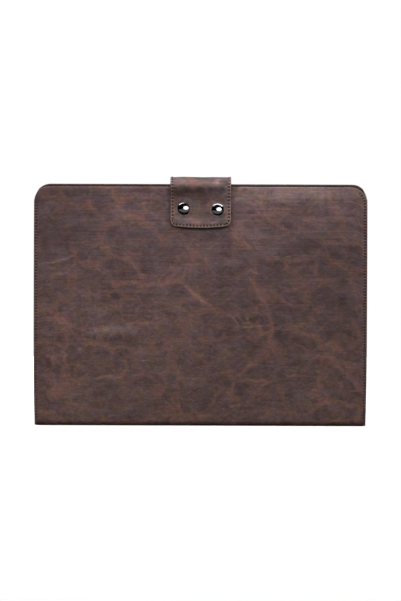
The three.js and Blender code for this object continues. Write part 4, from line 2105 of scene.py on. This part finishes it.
@dataclass(frozen=True)
class Snap:
    """One snap fastener: a polished cap with its socket on the tab, and a stud on the front panel."""

    side: Side
    seat: Seat
    gap: float = 0.3
    standoff: float = 3.3
    cap_radius: float = 6.25
    cap_rim: float = 1.0
    cap_dome: float = 2.5
    shank_radius: float = 1.6
    socket_radius: float = 5.0
    socket_web: float = 0.6
    stud_base_radius: float = 4.4
    stud_base: float = 0.6
    nose_radius: float = 2.0
    nose: float = 1.2
    washer_radius: float = 4.5
    washer: float = 0.8
    sides: int = 72
    dome_steps: int = 22
    sharp: float = 40.0  # degrees between faces above which their edge is sharp

    def cap_profile(self, leather: float) -> list[Span]:
        """Draws the cap, its shank and the socket under the tab.

        Args:
            leather: Thickness of the tab.

        Returns:
            Radius and height of each point of the section.
        """
        socket_top = -self.gap
        socket_mouth = self.stud_base + 2 * self.gap - self.standoff
        bore = self.nose_radius + self.gap
        under = leather + self.gap
        sphere = (self.cap_radius**2 + self.cap_dome**2) / (2 * self.cap_dome)
        top = under + self.cap_rim + self.cap_dome
        turns = np.linspace(math.asin(self.cap_radius / sphere), 0, self.dome_steps + 1)
        return [
            (0.0, socket_top - self.socket_web),
            (bore, socket_top - self.socket_web),
            (bore, socket_mouth),
            (self.socket_radius, socket_mouth),
            (self.socket_radius, socket_top),
            (self.shank_radius, socket_top),
            (self.shank_radius, under),
            (self.cap_radius, under),
            *((sphere * math.sin(turn), top - sphere * (1 - math.cos(turn))) for turn in turns),
        ]

    def stud_profile(self, leather: float) -> list[Span]:
        """Draws the stud and the washer inside the front panel.

        Args:
            leather: Thickness of the panel.

        Returns:
            Radius and height of each point of the section.
        """
        washer_top = -leather - self.gap
        nose_top = self.gap + self.stud_base + self.nose
        bevel = self.nose_radius / 4
        return [
            (0.0, washer_top - self.washer),
            (self.washer_radius, washer_top - self.washer),
            (self.washer_radius, washer_top),
            (self.shank_radius, washer_top),
            (self.shank_radius, self.gap),
            (self.stud_base_radius, self.gap),
            (self.stud_base_radius, self.gap + self.stud_base),
            (self.nose_radius, self.gap + self.stud_base),
            (self.nose_radius, nose_top - bevel),
            (self.nose_radius - bevel, nose_top),
            (0.0, nose_top),
        ]

    def turned(self, name: str, profile: list[Span], place: Array, facing: Array, metal: Material) -> Piece:
        """Turns a section round its axis and sets it on a seat.

        Args:
            name: Name of the piece.
            profile: Radius and height of each point, from axis to axis.
            place: Where height 0 of the axis goes.
            facing: The way that the axis points.
            metal: Its material.

        Returns:
            The piece.
        """
        turns = 2 * math.pi * np.arange(self.sides) / self.sides
        rings = [
            np.stack([radius * np.cos(turns), radius * np.sin(turns), np.full_like(turns, height)], axis=-1)
            for radius, height in profile[1:-1]
        ]
        ends = [(0.0, 0.0, profile[0][1]), (0.0, 0.0, profile[-1][1])]
        points = np.concatenate([*rings, ends])
        bottom, top = len(points) - 2, len(points) - 1
        ids = np.arange(bottom).reshape(len(rings), self.sides)
        after = np.roll(ids, -1, axis=1)
        faces = ring_walls(ids).tolist()
        faces += [[bottom, int(second), int(first)] for first, second in zip(ids[0], after[0])]
        faces += [[top, int(first), int(second)] for first, second in zip(ids[-1], after[-1])]
        lean = Vector((0, 0, 1)).rotation_difference(Vector(facing))
        placed = np.array([lean @ Vector(point) for point in points]) + place
        piece = new_piece(name, placed, faces, [metal])
        piece.data.set_sharp_from_angle(angle=math.radians(self.sharp))
        return piece

    def build(self, pouch: Pouch, tab: ClosingTab, chrome: Material, steel: Material) -> list[Piece]:
        """Makes the cap and the stud.

        Args:
            pouch: The pouch that carries the stud.
            tab: The tab that carries the cap.
            chrome: Material of the cap.
            steel: Material of the stud.

        Returns:
            The two pieces.
        """
        word = self.side.name.lower()
        x, z = np.array(self.seat.x), np.array(self.seat.z)
        place, facing = tab.inner_face(x, np.array(tab.along(self.seat.z)))
        right, up = self.seat.slopes()
        facing = unit(facing + np.array([right, 0.0, up]))
        cap = self.turned(f"cap_{word}", self.cap_profile(tab.thickness), place, facing, chrome)
        hole = pouch.line_on(Panel.FRONT, x, z)
        stud = self.turned(f"stud_{word}", self.stud_profile(pouch.wall), hole.points, hole.normals, steel)
        mount(cap, Slot.CHROME, f"snap_cap_{word}")
        mount(stud, Slot.STEEL, f"snap_stud_{word}")
        return [cap, stud]


@dataclass(frozen=True)
class SoftBox:
    """A soft studio light."""

    name: str
    place: Place
    aim: Place
    width: float
    height: float
    power: float
    in_gloss: bool = True
    on_matt: bool = True
    shape: Outline = Outline.OBLONG

    def build(self) -> None:
        """Hangs the light and turns it to what it lights."""
        light = bpy.data.lights.new(self.name, "AREA")
        light.shape = self.shape.value
        light.size = self.width * MM
        light.size_y = self.height * MM
        light.energy = self.power
        lamp = bpy.data.objects.new(self.name, light)
        lamp.location = Vector(self.place) * MM
        lamp.rotation_mode = "QUATERNION"
        lamp.rotation_quaternion = (Vector(self.aim) - Vector(self.place)).to_track_quat("-Z", "Y")
        lamp.visible_camera = False
        lamp.visible_glossy = self.in_gloss
        lamp.visible_diffuse = self.on_matt
        bpy.context.scene.collection.objects.link(lamp)


@dataclass(frozen=True)
class Studio:
    """Pale floor, white surround, soft light and the camera."""

    frame_height: int = 601  # of the picture, in pixels
    pixel: float = 1.006  # what a pixel spans at the sleeve
    distance: float = 3000.0
    elevation: float = 2.0
    roll: float = 0.2
    aim: Place = (0.1, 0.0, 125.6)
    sensor: float = 36.0
    floor_radius: float = 1300.0
    floor_sides: int = 96
    floor_tone: Colour = (0.62, 0.62, 0.62)
    floor_glow: float = 0.3
    white: Colour = (1.0, 1.0, 1.0)
    lights: tuple[SoftBox, ...] = (
        SoftBox("overhead_box", (100, -65, 1500), (100, -65, 200), 3400, 620, 12.8),
        SoftBox("overhead_fill", (100, -400, 1500), (50, -120, 200), 2600, 700, 25.2, in_gloss=False),
        SoftBox(
            "front_box", (522, -1190, 420), (0, 0, 217), 1700, 1000, 6.8, on_matt=False, shape=Outline.OVAL
        ),
        SoftBox("front_fill", (522, -1190, 640), (0, 0, 150), 1400, 300, 7.7, in_gloss=False),
        SoftBox("low_card", (0, -700, 1), (0, -700, 900), 2400, 1000, 0.7),
        SoftBox("left_front_fill", (-800, -1400, 640), (-40, 0, 120), 900, 400, 9, in_gloss=False),
        SoftBox("left_fill", (-1300, 0, 300), (0, 0, 120), 500, 700, 5, in_gloss=False),
        SoftBox("right_fill", (1300, 0, 300), (0, 0, 120), 500, 700, 5, in_gloss=False),
        SoftBox("back_fill", (-500, 1500, 700), (0, 0, 120), 1400, 1000, 30, in_gloss=False),
    )

    def floor(self) -> None:
        """Lays the pale floor."""
        turns = 2 * math.pi * np.arange(self.floor_sides) / self.floor_sides
        points = self.floor_radius * np.stack([np.cos(turns), np.sin(turns), 0 * turns], axis=-1)
        finish = Bench("pale_floor").finish(
            base_color=self.floor_tone,
            roughness=0.9,
            specular_ior_level=0.0,
            emission_color=self.white,
            emission_strength=self.floor_glow,
        )
        floor = new_piece("floor", points, [list(range(self.floor_sides))], [finish])
        floor.visible_diffuse = False
        floor.visible_glossy = False

    def surround(self) -> None:
        """Makes all that lies past the floor white to the camera and dark to everything else."""
        world = bpy.data.worlds.new("white_surround")
        bpy.context.scene.world = world
        world.use_nodes = True
        background = world.node_tree.nodes["Background"]
        background.inputs["Color"].default_value = (*self.white, 1.0)
        world.cycles_visibility.diffuse = False
        world.cycles_visibility.glossy = False

    def camera(self) -> None:
        """Sets up the camera at the photograph's angle."""
        data = bpy.data.cameras.new("camera")
        data.sensor_width = self.sensor
        data.lens = self.sensor * self.distance / (self.frame_height * self.pixel)
        camera = bpy.data.objects.new("camera", data)
        tilt = math.radians(self.elevation)
        back = Vector((0, -math.cos(tilt), math.sin(tilt)))
        camera.location = (Vector(self.aim) + back * self.distance) * MM
        camera.rotation_mode = "QUATERNION"
        rolled = Quaternion((0, 0, 1), math.radians(self.roll))
        camera.rotation_quaternion = (-back).to_track_quat("-Z", "Y") @ rolled
        bpy.context.scene.collection.objects.link(camera)
        bpy.context.scene.camera = camera

    def build(self) -> None:
        """Sets up the whole studio."""
        self.floor()
        self.surround()
        for light in self.lights:
            light.build()
        self.camera()
        bpy.context.scene.view_settings.view_transform = "Standard"


def main() -> None:
    """Builds the sleeve piece by piece, and the studio round it."""
    logging.basicConfig(level=logging.INFO, format="%(message)s")
    suede = Suede().material()
    thread = WaxedThread().material()
    wrap_finish = SheetFinish(
        leather=DistressedLeather("wrap_leather").material(),
        paint=EdgePaint("wrap_edge", dark=linear(62, 45, 41), worn=linear(96, 74, 68)).material(),
        suede=suede,
        thread=thread,
    )
    tab_leather = DistressedLeather(
        "tab_leather",
        plum=linear(65, 52, 53),
        brown=linear(92, 77, 76),
        tan=linear(108, 92, 91),
        rust=linear(116, 85, 77),
        red_drift=0.22,
        blue_drift=0.45,
    )
    tab_finish = SheetFinish(
        leather=tab_leather.material(),
        # Near black, darker than the wrap's edge paint: partly painted shadow under the tab's edge.
        paint=EdgePaint("tab_edge", dark=linear(22, 14, 13), worn=linear(48, 34, 30)).material(),
        suede=suede,
        thread=thread,
    )
    chrome = PlatedMetal("chrome", (0.86, 0.87, 0.9), (0.8, 0.82, 0.86), (0.1, 0.17)).material()
    steel = PlatedMetal("steel", (0.6, 0.6, 0.61), (0.45, 0.45, 0.46), (0.28, 0.42)).material()

    pouch = Pouch()
    tab = ClosingTab(pouch)
    snaps = [
        Snap(Side.LEFT, Seat(x=-16.9, z=217.8, turn=-6.0, nod=-8.0)),
        Snap(Side.RIGHT, Seat(x=16.9, z=217.1, turn=6.0, nod=2.0)),
    ]
    pieces = LeatherWrap(pouch).build(wrap_finish)
    pieces += tab.build([snap.seat for snap in snaps], tab_finish)
    for snap in snaps:
        pieces += snap.build(pouch, tab, chrome, steel)
    for piece in pieces:
        LOG.info("%s: %d faces", piece.name, len(piece.data.polygons))
    Studio().build()


if __name__ == "__main__":
    main()
